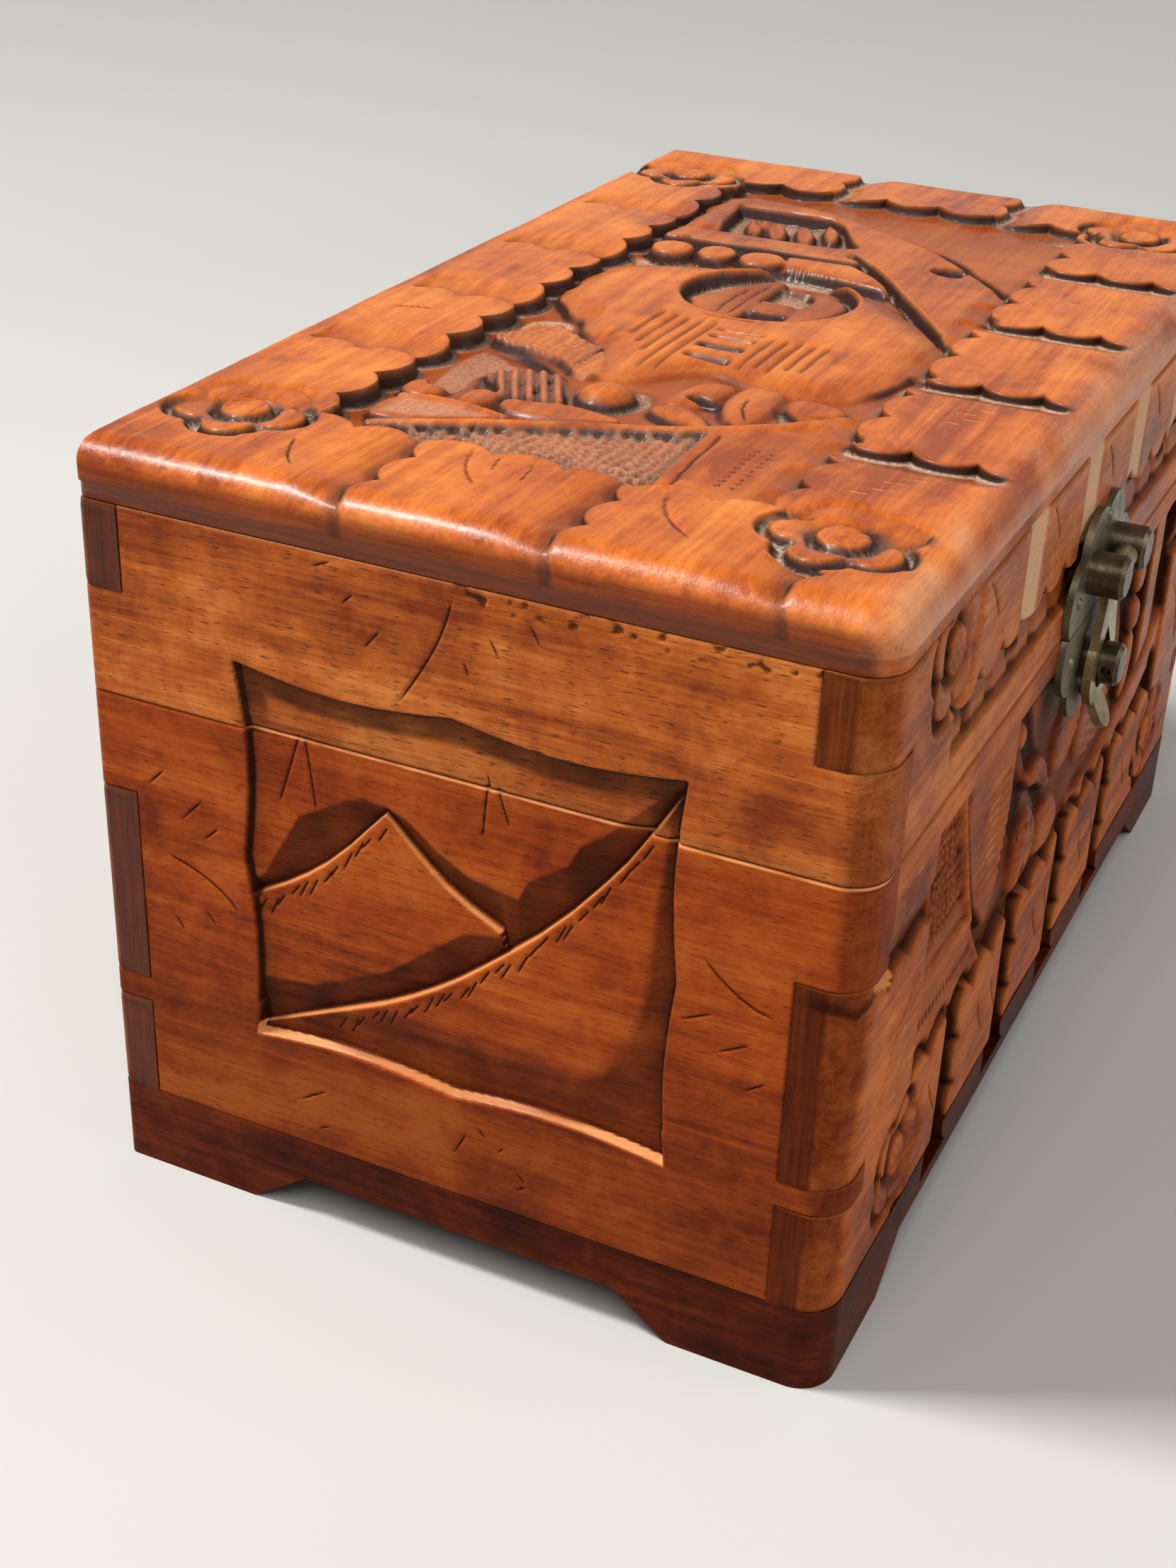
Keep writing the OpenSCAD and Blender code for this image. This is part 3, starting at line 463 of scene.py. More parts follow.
def board(name, relief, place, levels, keep, end_grain, carved=None):
    """A closed board: its carved face, walls from the face's edge through each level, and a flat inner face.

    Carved is the depth that the material shows, where it isn't the whole relief.
    """
    rows, cols = relief.x.shape
    index = np.arange(rows * cols).reshape(rows, cols)
    quads = np.stack([index[:-1, :-1], index[:-1, 1:], index[1:, 1:], index[1:, :-1]], -1)
    quads = quads[keep]
    used = np.unique(quads)
    new = np.full(rows * cols, -1)
    new[used] = np.arange(len(used))
    quads = new[quads]
    x, y, depth = (a.ravel()[used] for a in (relief.x, relief.y, relief.depth))
    front = place(x, y, depth)

    loop = rim_of(quads)
    rings = [level(x[loop], y[loop]) for level in levels]
    count = len(loop)
    starts = [np.array(loop)] + [len(front) + i * count + np.arange(count) for i in range(len(rings))]
    faces = quads.tolist()
    for upper, lower in zip(starts, starts[1:]):
        faces += np.stack([np.roll(upper, -1), upper, lower, np.roll(lower, -1)], -1).tolist()
    faces.append(starts[-1][::-1].tolist())

    grain = end_grain(x, y)
    pad = np.zeros(count * len(rings))
    values = {key: np.concatenate([a.ravel()[used], pad]) for key, a in marks(relief, carved).items()}
    values["end_grain"] = np.concatenate([grain] + [grain[loop]] * len(rings))

    points = np.concatenate([front] + rings)
    piece = new_mesh(name, points, faces, values, flat_layout(x, y, quads, loop, len(rings)))
    piece.data.set_sharp_from_angle(angle=math.radians(62))
    return piece


def kept_cells(across, up, notches):
    """Which grid cells belong to a board that has notches, each given by its lowest and highest corners."""
    cx, cy = np.meshgrid((across[1:] + across[:-1]) / 2, (up[1:] + up[:-1]) / 2)
    keep = np.ones(cx.shape, bool)
    for x0, y0, x1, y1 in notches:
        keep &= ~((cx > x0) & (cx < x1) & (cy > y0) & (cy < y1))
    return keep


# Beyond every board, for notches that are open to one side.
FAR = 200.0
# How near to a board's end a point still counts as lying on it.
AT_EDGE = 0.05


def finger_gaps(low, high, fingers):
    """The heights between low and high that the fingers leave free."""
    edges = [low] + [z for f in fingers for z in f] + [high]
    return [(a, b) for a, b in zip(edges[::2], edges[1::2]) if b - a > 0.01]


def long_board(name, side, z0, z1, fingers, thick, draw, step):
    """A front board (side -1) or back board (side 1), whose fingers reach out to the ends."""
    inset = HALF_LEN - END_T
    notches = [(x0, z_low, x1, z_high) for z_low, z_high in finger_gaps(z0, z1, fingers)
               for x0, x1 in ((-FAR, -inset), (inset, FAR))]
    corner_r = CORNER_R if side < 0 else BACK_R
    across = bent(HALF_LEN, corner_r, corner_r, step, (-inset, inset))
    up = lines(z0, z1, step, [z for notch in notches for z in (notch[1], notch[3])])
    relief = Relief(across, up)
    carve(relief, draw)
    edge_round(relief, notches)
    outer = side * HALF_WID + WALL_MID
    inner = outer - side * thick

    def place(x, z, depth):
        y = outer - side * (corner_inset(x, HALF_LEN, corner_r, corner_r) + depth)
        return np.stack([side * -x, y, z], -1)

    def back(x, z):
        return np.stack([side * -x, np.full_like(x, inner), z], -1)

    def grain(x, z):
        # Half of it comes as the rounded corner turns away, the rest on the fingers' flat ends.
        over = np.abs(x) - HALF_LEN
        turned = smooth((over + 0.75 * corner_r) / (0.25 * corner_r))
        return 0.5 * turned + 0.5 * (np.abs(x) > HALF_LEN - AT_EDGE)

    return board(name, relief, place, [back], kept_cells(across, up, notches), grain)


def end_board(name, side, z0, z1, fingers, draw, step):
    """An end board at the left (side -1) or right (side 1), with across running from back to front."""
    back_inset, front_inset = -(HALF_WID - BACK_T), HALF_WID - FRONT_T
    notches = [(h0, z_low, h1, z_high) for z_low, z_high in fingers
               for h0, h1 in ((-FAR, back_inset), (front_inset, FAR))]
    across = bent(HALF_WID, BACK_R, CORNER_R, step, (back_inset, front_inset))
    up = lines(z0, z1, step, [z for notch in notches for z in (notch[1], notch[3])])
    relief = Relief(across, up)
    carve(relief, draw)
    edge_round(relief, notches)

    def place(h, z, depth):
        x = side * (HALF_LEN - corner_inset(h, HALF_WID, BACK_R, CORNER_R) - depth)
        return np.stack([x, WALL_MID - h, z], -1)

    def back(h, z):
        return np.stack([np.full_like(h, side * (HALF_LEN - END_T)), WALL_MID - h, z], -1)

    def grain(h, z):
        # It fades in along the front's rounded corner, and shows on the fingers' flat ends at the back.
        return 0.55 * smooth((h - HALF_WID + 5.5) / 2.5) + 0.9 * (h < AT_EDGE - HALF_WID)

    piece = board(name, relief, place, [back], kept_cells(across, up, notches), grain)
    if side > 0:
        piece.data.flip_normals()
    return piece


# What is carved on each face

FIELD = (-84.2, -36.8, 89.4, 41.7)
FIELD_MID = ((FIELD[0] + FIELD[2]) / 2, (FIELD[1] + FIELD[3]) / 2)
# Where the lid's border leaves end on each side, and the lobes of those ends: where a cusp lies, their pitch
# and their rise.
FRONT_LEAVES = (-50.3, -15.1, 21.0, 59.0)
LEFT_LEAVES = (17.4, -15.2, -49.0)
BACK_LEAVES = (-51, -17, 17.4, 52)
RIGHT_LEAVES = (20.7, -14.7)
FRONT_LOBES = (-44.2, 10.2, 3.2)
LEFT_LOBES = (-100.4, 10.2, 2.6)
BACK_LOBES = (50.5, 10, 2.2)
RIGHT_LOBES = (97.7, 10.0, 2.0)
# The middles of the blossoms in the lid's corners, and the way in which each is cut deepest, in degrees.
TOP_BLOSSOMS = ((-84.5, 50.5, 205), (-86.3, -46.8, 180), (88.2, 52.0, 200), (90.5, -44.4, 170))
TOP_BLOSSOM_R = 10.8


def scallops(t, mid):
    """How far the border's scallops stand into the lid's scene at t, on sides whose middle is at mid."""
    return lobes(t - mid + SCALLOP_PITCH / 2, SCALLOP_PITCH, SCALLOP_RISE)


def scalloped_rim(x, y):
    """Distance into the lid's scene from its scalloped border, negative on the border."""
    x0, y0, x1, y1 = FIELD
    tips_x, tips_y = scallops(x, FIELD_MID[0]), scallops(y, FIELD_MID[1])
    from_sides = np.minimum(x - x0 - tips_y, x1 - x - tips_y)
    return np.minimum(from_sides, np.minimum(y - y0 - tips_x, y1 - y - tips_x))


def leaf_tips(t, row):
    """How far the lobes of a row of border leaves stand out at t."""
    cusp, pitch, rise = row
    return lobes(t - cusp, pitch, rise)


def leaf_row(relief, where, place, edges, way, tips, run, deep, dust=0.0, ink=0.0, lead=6, reach=12):
    """Border leaves that each slope down to the round lobes of the next.

    Each edge is where the cusps lie along place. From there the slope runs up again over some mm, towards
    way, and tips says how far the lobes stand out over it.
    """
    for edge in edges:
        near = where & (np.abs(place - edge - way * lead) < reach)
        gone = way * (place - edge)
        over = gone - tips
        slope = smooth(1 - gone / run) * (over > -0.4)
        wall = smooth(0.5 + over / 0.5)
        toe = smooth(1.5 - over / (run * 0.2)) * wall
        # The gap at each toe and the fall of each slope are darkened with painted shade.
        relief.most(near, depth=deep * slope * wall, dust=dust * toe,
                    ink=ink * np.maximum(toe, 0.6 * (slope * wall) ** 2))


def draw_top(relief):
    """The lid's scene inside its border of leaves, with a blossom in each corner."""
    x, y = relief.x, relief.y
    rim = scalloped_rim(x, y)
    inside = smooth(rim / 0.3)
    # The ground of the scene, hollowed under the back border.
    relief.depth = (2.2 + 0.8 * smooth((y - 22) / 14) + 0.25 * waves(x, y, 17, 1)) * inside
    for draw in (draw_hill, draw_upper_leaves, draw_lower_leaves, draw_bell, draw_chain, draw_sweep):
        draw(relief)
    # Everything falls away towards the front border, and no form reaches over the border.
    relief.most(depth=1.9 * smooth(1 - (y - FIELD[1] - scallops(x, FIELD_MID[0])) / 9.5))
    for layer in (relief.depth, relief.dust, relief.ink):
        layer *= inside
    toe = smooth(1 - (rim - 0.3) / 2.2) * inside
    relief.most(depth=toe * (1.2 + 1.5 * smooth((y - 10) / 20)) * (relief.depth > 0.3))
    relief.most(dust=0.6 * toe * smooth(relief.depth - 1.5))
    draw_top_leaves(relief, rim < 0.3)
    draw_top_marks(relief)
    for px, py, way in TOP_BLOSSOMS:
        relief.blossom(px, py, TOP_BLOSSOM_R, way, 2.1)
    # The front edge is rubbed dull, and hand-cut wood is never quite even.
    relief.most(dust=0.42 * smooth((-56.5 - y) / 5) * smooth(0.6 + 0.6 * waves(x, y, 14, 5)))
    relief.depth += 0.08 * (1 + waves(x, y, 30, 2)) + 0.025 * (1 + waves(x, y, 6, 3))


def draw_top_leaves(relief, border):
    """The rows of leaves on the four sides of the lid's border."""
    x, y = relief.x, relief.y
    front = border & (y < FIELD[1] + 3.2) & (y > -60)
    leaf_row(relief, front, x, FRONT_LEAVES, -1, leaf_tips(y, FRONT_LOBES), 11, 2.1 * smooth((y + 61) / 3),
             dust=0.95, ink=0.3)
    back = border & (y > FIELD[3] - 3.2) & (y < 60)
    leaf_row(relief, back, x, BACK_LEAVES, 1, leaf_tips(y, BACK_LOBES), 13, 1.0, ink=0.2, lead=8, reach=14)
    left = border & (x < FIELD[0] + 3.2)
    deep = 1.7 - 0.8 * smooth((-98 - x) / 8)
    # The last leaf on the left shows only outside the blossom in the corner.
    for edges, share in ((LEFT_LEAVES[:2], 1), (LEFT_LEAVES[2:], smooth((-97.5 - x) / 2))):
        leaf_row(relief, left, y, edges, 1, leaf_tips(x, LEFT_LOBES), 11, share * deep, ink=0.45)
    right = border & (x > FIELD[2] - 3.2)
    leaf_row(relief, right, y, RIGHT_LEAVES, -1, leaf_tips(x, RIGHT_LOBES), 10, 1.9, dust=0.6)


def draw_top_marks(relief):
    """Leaf veins and chance marks of the knife on the lid's border."""
    for vein in ([(-97, 4), (-90, 10), (-81.5, 12.2)], [(-100, -31), (-92, -22), (-81.5, -19)]):
        relief.groove(curve(vein), 0.9, 0.6, ink=0.6)
    for vein in ([(-90, 5.5), (-83.5, 7)], [(-92, 0), (-84, 1.2)]):
        relief.groove(vein, 0.7, 0.35)
    relief.groove(curve([(-103, 30), (-99, 34), (-91, 37)]), 0.8, 0.4)
    for px, py in ((-71, -42), (-65, -45), (-36, -44), (-31, -45), (-30, 27), (36, -44), (70, -45)):
        for side in (0, 2.6):
            scratch = [(px + side, py + 1 - side), (px + side + 0.5, py - 3.6 - side)]
            relief.groove(scratch, 0.9, 0.15, ink=0, bare=0.85)
    relief.groove(curve([(-29.5, 58), (-27, 54), (-26, 49.5)]), 0.8, 0.5)


def draw_hill(relief):
    """The punched slope, the two ridge lines and the bare hill at the left of the lid."""
    slope = [(-84, 33), (-79, 31), (-56.8, -14.8), (-84, -16)]
    hill = [(-84, -16), (-56.5, -15), (-48, -25), (-40, -30.5), (-36, -38), (-84, -38)]
    relief.form(hill, 0.9, edge=1.0, tilt=(0, -0.05), soft=False)
    relief.form(slope, 1.3, edge=1.0, soft=False)
    relief.punch(slope, 2.8, 1.0, dust=0.32)
    crest = [(-79.5, 31.5), (-68, 12), (-60, -8), (-56, -15), (-48, -25), (-40.4, -30.4)]
    relief.ridge(curve(crest), 2.4, 0.25)
    relief.ridge([(-82.5, -16.6), (-70, -15.6), (-57, -15.2)], 1.7, 0.4)
    relief.groove([(-82, -18.4), (-70, -17.4), (-58, -17)], 1.0, 0.4, ends=0.05)
    for row in range(2):
        for i in range(9):
            px = -77 + i * 1.9
            relief.groove([(px, -23.5 - row * 2.3), (px + 1.2, -24.4 - row * 2.3)], 0.8, 0.3)


def draw_upper_leaves(relief):
    """The leaves, the fan and the large curl between the slope and the bell form."""
    tall_leaf = [(-75.5, 36), (-67, 35.5), (-63.9, 31), (-64.2, 23), (-66.5, 13.5), (-71, 21), (-75, 28.5)]
    relief.form(tall_leaf, 1.0)
    relief.punch([(-74, 34), (-66, 34), (-65, 24), (-67, 17), (-73, 28)], 2.0, 0.4, dust=0.4)
    relief.ridge(curve([(-66, 34), (-64.2, 29), (-64.6, 22), (-66.6, 15)]), 1.1, 0.5)
    relief.form([(-63.5, 36.5), (-58, 37.4), (-55.2, 34), (-57, 30), (-63, 29.4)], 1.0, dome=0.6, reach=2)
    bud = [(-62.5, 27), (-57, 27), (-55, 24), (-56.5, 20.5), (-62.5, 20.5), (-64, 24)]
    relief.form(bud, 0.9, dome=0.6, reach=2)
    pod = [(-62, 19.5), (-58.5, 19.8), (-55.6, 16), (-56.4, 4.5), (-59.2, -2.8), (-62.5, 6), (-63.6, 14)]
    relief.form(pod, 0.9)
    relief.punch([(-61.5, 17), (-57.5, 17), (-57.5, 6), (-59.5, 1), (-62, 8)], 2.1, 0.25)
    fan = [(-58.4, 20.5), (-52, 26), (-46.4, 30), (-42.4, 23), (-42.2, 17.5), (-48, 13.5), (-56, 9)]
    relief.form(fan, 0.9, dome=0.5)
    relief.hatch(fan, 27, 2.3, 1.2, 0.6)
    relief.dust = np.where(from_outline(relief.x, relief.y, fan) < 0, 0.15, relief.dust)
    relief.sink([(-55.6, 24), (-52, 28.5), (-47.8, 29.4), (-51, 26), (-54.5, 22.8)], 3.4, dust=0.2)
    over_fan = [(-60, 33.8), (-45, 36.5), (-35, 37), (-34, 33), (-43, 24), (-47, 31.5), (-56, 28.5)]
    relief.sink(over_fan, 2.9, dust=0.35)
    curl = [(-43.5, 14.5), (-36.5, 20), (-33.6, 27), (-32, 36.5), (-28.3, 36.3), (-25.5, 33.6), (-18.6, 33),
            (-18.4, 29.6), (-24.5, 22.5), (-27.6, 16.4), (-37.5, 10.6)]
    relief.form(curl, 0.9, edge=1.0)
    relief.punch(curl, 2.5, 0.8, dust=0.15)
    relief.sink([(-41.5, 19.5), (-36.5, 24), (-33, 35), (-36.2, 35.5), (-39.8, 25.5), (-43, 21.8)], 3.6)
    relief.sink([(-22, 36.8), (-14.5, 37), (-13.5, 31), (-17, 27.5), (-20.5, 30)], 2.9, dust=0.8)


def draw_lower_leaves(relief):
    """A round bud with a dark hollow at its left, and the low leaves before the bell form."""
    relief.sink([(-56, 9.5), (-54, 2.2), (-47, -0.5), (-42.2, 1.5), (-44, 10), (-51, 13)], 3.1, dust=0.4)
    relief.form(oval(-47.8, 7.4, 5.4, 5.2, 14), 0.1, edge=0.8, dome=1.7, reach=4.2)
    left_leaf = [(-55.6, -9), (-51.2, -0.6), (-47.2, -2.6), (-46.8, -7), (-52.5, -13), (-56.6, -13.6)]
    relief.form(left_leaf, 0.8, dome=0.5)
    right_leaf = [(-46.5, -1), (-40, -1.5), (-33.5, -3.5), (-32.6, -10), (-39, -9), (-45.6, -8.2)]
    relief.form(right_leaf, 1.2, dome=0.3)
    relief.sink([(-44.4, -8.6), (-42.6, -4.4), (-40.8, -4.8), (-41.6, -9.4), (-43.4, -10.4)], 3.2)
    low_leaf = [
        (-53.2, -17.2), (-47.5, -12), (-39.7, -9.6), (-31.8, -11), (-32.3, -17), (-37, -18.6), (-46, -18.8)]
    relief.form(low_leaf, 0.8, dome=0.5)
    relief.hatch([(-44, -11), (-32, -11.5), (-32.4, -16.5), (-37, -15.5)], -32, 1.7, 0.4)
    relief.form([(-46, -24.4), (-40.5, -19.6), (-33.6, -18.8), (-34, -27), (-38.5, -30.5)], 0.9, dome=0.5)
    relief.sink([(-45.6, -23), (-43.4, -20.2), (-39.6, -19), (-43.6, -23.6)], 2.9, dust=0.7)
    relief.groove([(-50.5, -17.6), (-44, -14.4), (-38, -13.4)], 0.9, 0.4)


def draw_bell(relief):
    """The large bell-shaped form with its cut lines and the sunk round eye."""
    bell = [(-42.8, 10.2), (-36, 13.6), (-29.2, 16.2), (-24.6, 20), (-21, 25), (-14.6, 27), (-12.4, 31.4),
            (-8.6, 33.6), (-5, 37.6), (4, 39), (18, 38.6), (22.6, 34), (26.4, 27), (28.4, 18.4), (29.6, 4),
            (27.4, -9), (20, -17.6), (3.3, -33.6), (-10, -33.4), (-24, -30.4), (-33, -26.6), (-33.6, -18),
            (-31.8, -9.6), (-28.3, -3.5), (-33, 2), (-38, 5.6)]
    relief.form(bell, 0.3, edge=0.6, dome=1.2, reach=9)
    # Painted shade: the bell darkens towards its lower right edge.
    rim = from_outline(relief.x, relief.y, rounded(bell))
    bell_shade = smooth(1 + rim / 11) * smooth((relief.x + 18) / 24) * (rim < 0.3)
    relief.most(ink=0.22 * bell_shade * smooth((8 - relief.y) / 16))
    cut_rows(relief, (
        (16.2, -21, -3.5), (13.4, -24.5, -3.5), (10.9, -28.5, -4), (8.3, -37, -4), (5.7, -35, -4)))
    for px in (-24.4, -18.8, -13.4, -9.6):
        relief.groove([(px, 4.2), (px - 0.4, -4.4)], 3.0 if px < -10 else 1.6, 1.3, ends=0.08, ink=0.5)
    cut_rows(relief, (
        (-6.4, -28, -9), (-8.9, -27, -9), (-11.4, -28.5, -8.5), (-13.9, -26, -9), (-16.4, -26, -8.5)))
    relief.groove([(-2.9, 10), (-2.9, -0.4)], 1.3, 0.8, ends=0.1)
    draw_eye(relief)


def cut_rows(relief, rows):
    """Level cuts, each with a painted highlight line over it: its height and where it starts and stops."""
    for py, x0, x1 in rows:
        relief.groove([(x0, py), ((x0 + x1) / 2, py + 0.2), (x1, py)], 1.3, 0.8, ends=0.15, ink=0.45)
        relief.groove([(x0 + 1, py + 1), (x1 - 1, py + 1)], 0.7, 0.1, ends=0.2, ink=0, bare=0.66)


def draw_eye(relief):
    """A deep round hollow in the bell form, whose lower part holds a rounded mound with a bar across it."""
    cx, cy, r = 14.2, 4.3, 15.6
    eye = oval(cx, cy, r, r, 40)
    relief.form([(cx + (px - cx) * 1.08, cy + (py - cy) * 1.08) for px, py in eye], 0.35, edge=1, soft=False)
    relief.sink(eye, 3.5, edge=1.1, soft=False, dust=0.55)
    roof = [(-0.6, 5.6), (0.2, 11), (3.4, 15.4), (8, 17.4), (15, 14.6), (22.8, 11), (26.8, 8), (27.4, 5.4),
            (12, 5.2)]
    relief.form(roof, 1.5, edge=1.6, tilt=(0.01, -0.04), soft=False)
    relief.groove([(0, 9.8), (12, 10.4), (22, 9.2)], 0.8, 0.3)
    relief.groove([(0, 7.6), (14, 8), (25, 7)], 0.8, 0.4)
    pits = ([(-0.8, 5), (6.4, 5), (5.6, 1.8), (6.4, -1.6), (0.2, -1)],
            [(13.2, 5), (22.6, 5), (21, 1), (19.6, -1.8), (15.6, 1.6)])
    relief.sink(pits[0], 3.4, edge=0.6, soft=False, dust=0.5)
    relief.form([(6.4, 5.2), (13, 5.2), (12.6, -2), (6.8, -2)], 1.3, edge=0.8, soft=False)
    relief.sink(pits[1], 3.4, edge=0.6, soft=False, dust=0.5)
    bowl = [(0, -1.6), (5.6, -1.6), (13, -1.8), (19.6, -2.6), (22.4, 0.4), (23, -5), (19, -10), (13.6, -10.8),
            (6, -8.4), (1.8, -5)]
    relief.form(bowl, 1.4, edge=1.2, dome=0.5)
    relief.form([(22.4, 4.6), (26, 4.8), (25.4, -4), (22.2, -8), (21.6, -3), (23.2, 0)], 2.0, edge=0.8)


def draw_chain(relief):
    """The chain of lobes with its ribbed tail and the strip beside it, right of the bell form."""
    relief.sink([(27.5, 39), (31, 39), (30, 30), (31.6, 24), (30.4, 16), (32.6, 10), (31.4, -4), (28.6, -14),
                 (24.6, -12), (29.4, -2), (29.6, 14), (27.6, 26), (24.8, 33)], 3.5, dust=0.75)
    for px, py, rx, ry in ((34.4, 32.2, 4.6, 4.4), (35.8, 23.6, 4.4, 4.0), (35.8, 14.4, 4.6, 4.6)):
        relief.form(oval(px, py, rx, ry, 16), 0.45, edge=0.5, dome=0.35, reach=1.6, soft=False)
    tail = [(33.6, 8.8), (41, 11.4), (41.4, -2), (36, -8.6), (29.4, -14.6), (30.4, -7), (32.2, 0)]
    relief.form(tail, 0.7, edge=0.7, dome=0.4, reach=2, soft=False)
    for i in range(14):
        py = 8 - i * 1.55
        px = 33.4 - 0.08 * i * i * 0.35 - 0.12 * i
        relief.sink([(px - 1.4, py + 0.5), (px + 0.8, py), (px - 1.4, py - 0.5)], 2.6, edge=0.5, soft=False)
    strip = [(42.4, 38), (51, 37.4), (51.4, 2), (48.6, -0.6), (42, -6)]
    relief.form(strip, 0.8, edge=0.9, tilt=(0.03, 0), soft=False)
    relief.ridge([(42.6, 34), (42.9, 16), (42.4, -2)], 1.3, 0.3)
    relief.groove([(41.4, 36), (41.6, 16), (41.2, -3)], 1.3, 1.0, ends=0.05)


def draw_sweep(relief):
    """The bright sweeping band round a sunk window, and the low ground outside it."""
    sweep = [(51, 37.5), (66, 38.8), (76, 38), (80, 33), (79, 24), (76.6, 14.4), (70.6, 3.6), (61.8, -10.4),
             (54, -18.6), (44, -27), (36, -33.6), (3, -34), (16, -24.6), (28, -16.4), (40, -8), (48.7, 0.4),
             (51.4, 3)]
    relief.form(sweep, 0.7, edge=0.9, dome=0.35, reach=4, soft=False)
    window = [(51.4, 29.4), (58, 31.2), (70, 32.6), (70.2, 14), (67, 9.6), (58, 4.6), (53.4, 1.6), (51.2, 8)]
    relief.sink(window, 3.3, edge=0.9, soft=False, dust=0.5)
    leaves = ((52.6, 23, 15), (52.2, 18.4, 17), (53, 12.6, 16), (56.6, 8.4, 13), (60, 24, 9))
    for i, (px, py, size) in enumerate(leaves):
        low, tip = (px + size * 0.55, py - 0.6), (px + size, py + size * 0.42)
        leaf = [(px, py - 1.4), low, tip, (px + size * 0.5, py + size * 0.34), (px, py + 1.4)]
        relief.form(leaf, 1.1 + 0.25 * (i % 3), edge=1.4, dome=1.2, reach=1.6)
    relief.hatch([(52, 24), (69, 31), (69, 14), (54, 6)], 24, 2.6, 0.5)
    relief.sink([(51.6, 10.4), (55.8, 10), (56.2, 5.6), (52.4, 4.8)], 3.6)
    relief.ridge([(70.8, 33), (70.9, 22), (70.2, 13)], 1.7, 0.25)
    relief.sink([(43, -21.6), (44.4, -16.8), (47.4, -15.2), (49.8, -20.4), (48.6, -22)], 3.4, edge=0.7)
    outer = [(79.6, 34), (78.4, 24), (75.6, 14), (69.4, 3), (61.4, -10.6), (53.6, -18.8), (38.2, -32.6)]
    relief.groove(curve(outer), 1.7, 1.6, ends=0.04, dust=0.25)
    inner = curve([(48.7, 0.6), (40, -8.2), (27.8, -16.6), (15.5, -25.2), (3.3, -33.4)])
    relief.groove([(px - 0.7, py + 0.9) for px, py in inner], 2.4, 1.5, ends=0.04, dust=0.6)
    relief.ridge(inner, 1.1, 0.4)
    ground = [(80.4, 36), (90, 40), (90, -38), (38, -38), (38.6, -33.2), (54.4, -19.4), (62.4, -10.8),
              (70.6, 2.8), (77, 14)]
    relief.form(ground, 1.7, edge=1.2, tilt=(0.012, 0.0), soft=False)
    relief.sink([(81, -24), (83.4, -24), (85, -37), (79.5, -37)], 2.9, edge=1.4, dust=0.6)


# The framed scene of an end board: across runs from back to front and the heights are the box's own.
FRAME_CORNERS = [(-36.2, 33.7), (35.6, 33.7), (35.6, 99.2), (-37.1, 99.8)]
FRAME_BOWS = [1.5, 1.2, 1.9, 1.5]
FAR_RIDGE = (curve([(-36.4, 59.6), (-28.3, 64.3), (-21.2, 70.1), (-12.3, 80.4)], 1)
             + curve([(-12.3, 80.4), (-7, 74.9), (-0.8, 69.6), (9.9, 64.4), (10, 0)], 1)[1:])
NEAR_RIDGE = curve([
    (-36.4, 35), (-29.2, 38.6), (-19.4, 43.5), (-10.5, 47.9), (-1.7, 53.7), (5.4, 59.7), (16.1, 69.6),
    (25.8, 81.6), (29.8, 88), (34.5, 96)], 1)
# Behind each ridge the floor starts to fall at a crease and is deepest on the ridge itself.
SKY_CREASE = [
    (-36.5, 62), (-34, 64.4), (-30, 71.5), (-27.4, 76.3), (-23.8, 78.4), (-19.4, 81), (-15.9, 82.4),
    (-12.3, 81.8), (-8.8, 80.7), (-3.4, 76.7), (1.9, 73.8), (9.9, 72.7), (11.6, 76.3), (17.8, 80.7),
    (19.6, 84.4), (23.2, 87), (34, 98)]
HILL_CREASE = [
    (-36.5, 45), (-25.6, 46.4), (-19.4, 49.4), (-12.3, 53), (-7.9, 56.6), (-3.4, 60.5), (1, 64), (9.9, 66)]
# How far across the near slope's own crease lies, over the height.
SIDE_CREASE = [(44, 18), (46, 22.5), (50, 26), (54, 28), (61, 30.2), (68, 31.1), (77, 31.6), (90, 33)]
# Pairs of strokes that hang from the seam, then dashes outside the frame.
SEAM_STROKES = (
    (-26.9, 89.9, -31, 77), (-26, 89.9, -24.3, 77.3), (4.8, 92, 3.8, 80.7), (6.1, 89.9, 8.3, 83.8))
DASHES = (
    (-19.4, 119.7, -23.8, 117.9), (-16, 115.7, -18.8, 113), (-11.6, 111.3, -15.3, 106.8),
    (11.2, 117.5, 13.4, 113.5), (5, 113.9, 7, 110.4), (1, 109.5, 2.3, 106.4),
    (-50.4, 78.7, -54.7, 74.3), (-43.3, 75.4, -49.1, 69.2), (-40.9, 70.8, -44.9, 67),
    (-45.1, 55, -42.3, 51.6), (-50.9, 52.3, -48.6, 49),
    (42.8, 64, 35.8, 60.5), (48.6, 60.5, 41.6, 56.6), (51.3, 54.8, 46.5, 51.4),
    (2.8, 28.8, -0.3, 22.4), (4.1, 29.7, 5.9, 27.5), (9, 27.5, 7.6, 25.7), (10.7, 23.5, 13, 21.3),
    (13, 21.3, 10.7, 19.5), (-22, 27.5, -29.6, 22.6), (-22.5, 20, -25.2, 18.6))
ARCS = (
    [(-0.1, 119.7), (-2.1, 112.6), (-5.2, 106.4), (-10.1, 98.9)],
    [(-52.6, 63.4), (-46, 61.6), (-40.7, 58.5), (-37.6, 55)],
    [(39.1, 73.2), (42.2, 69.6), (47.1, 66.3), (52, 65.2)])


def bracket(corners, bows):
    """A frame outline whose sides each bow inwards as two arcs that meet in a point."""
    shape = []
    for (ax, ay), (bx, by), bow in zip(corners, corners[1:] + corners[:1], bows):
        length = math.dist((ax, ay), (bx, by))
        for i in range(24):
            t = i / 24
            dip = bow * math.sin((t * 2 % 1) * math.pi)
            px = ax + (bx - ax) * t - dip * (by - ay) / length
            py = ay + (by - ay) * t + dip * (bx - ax) / length
            shape.append((px, py))
    return shape


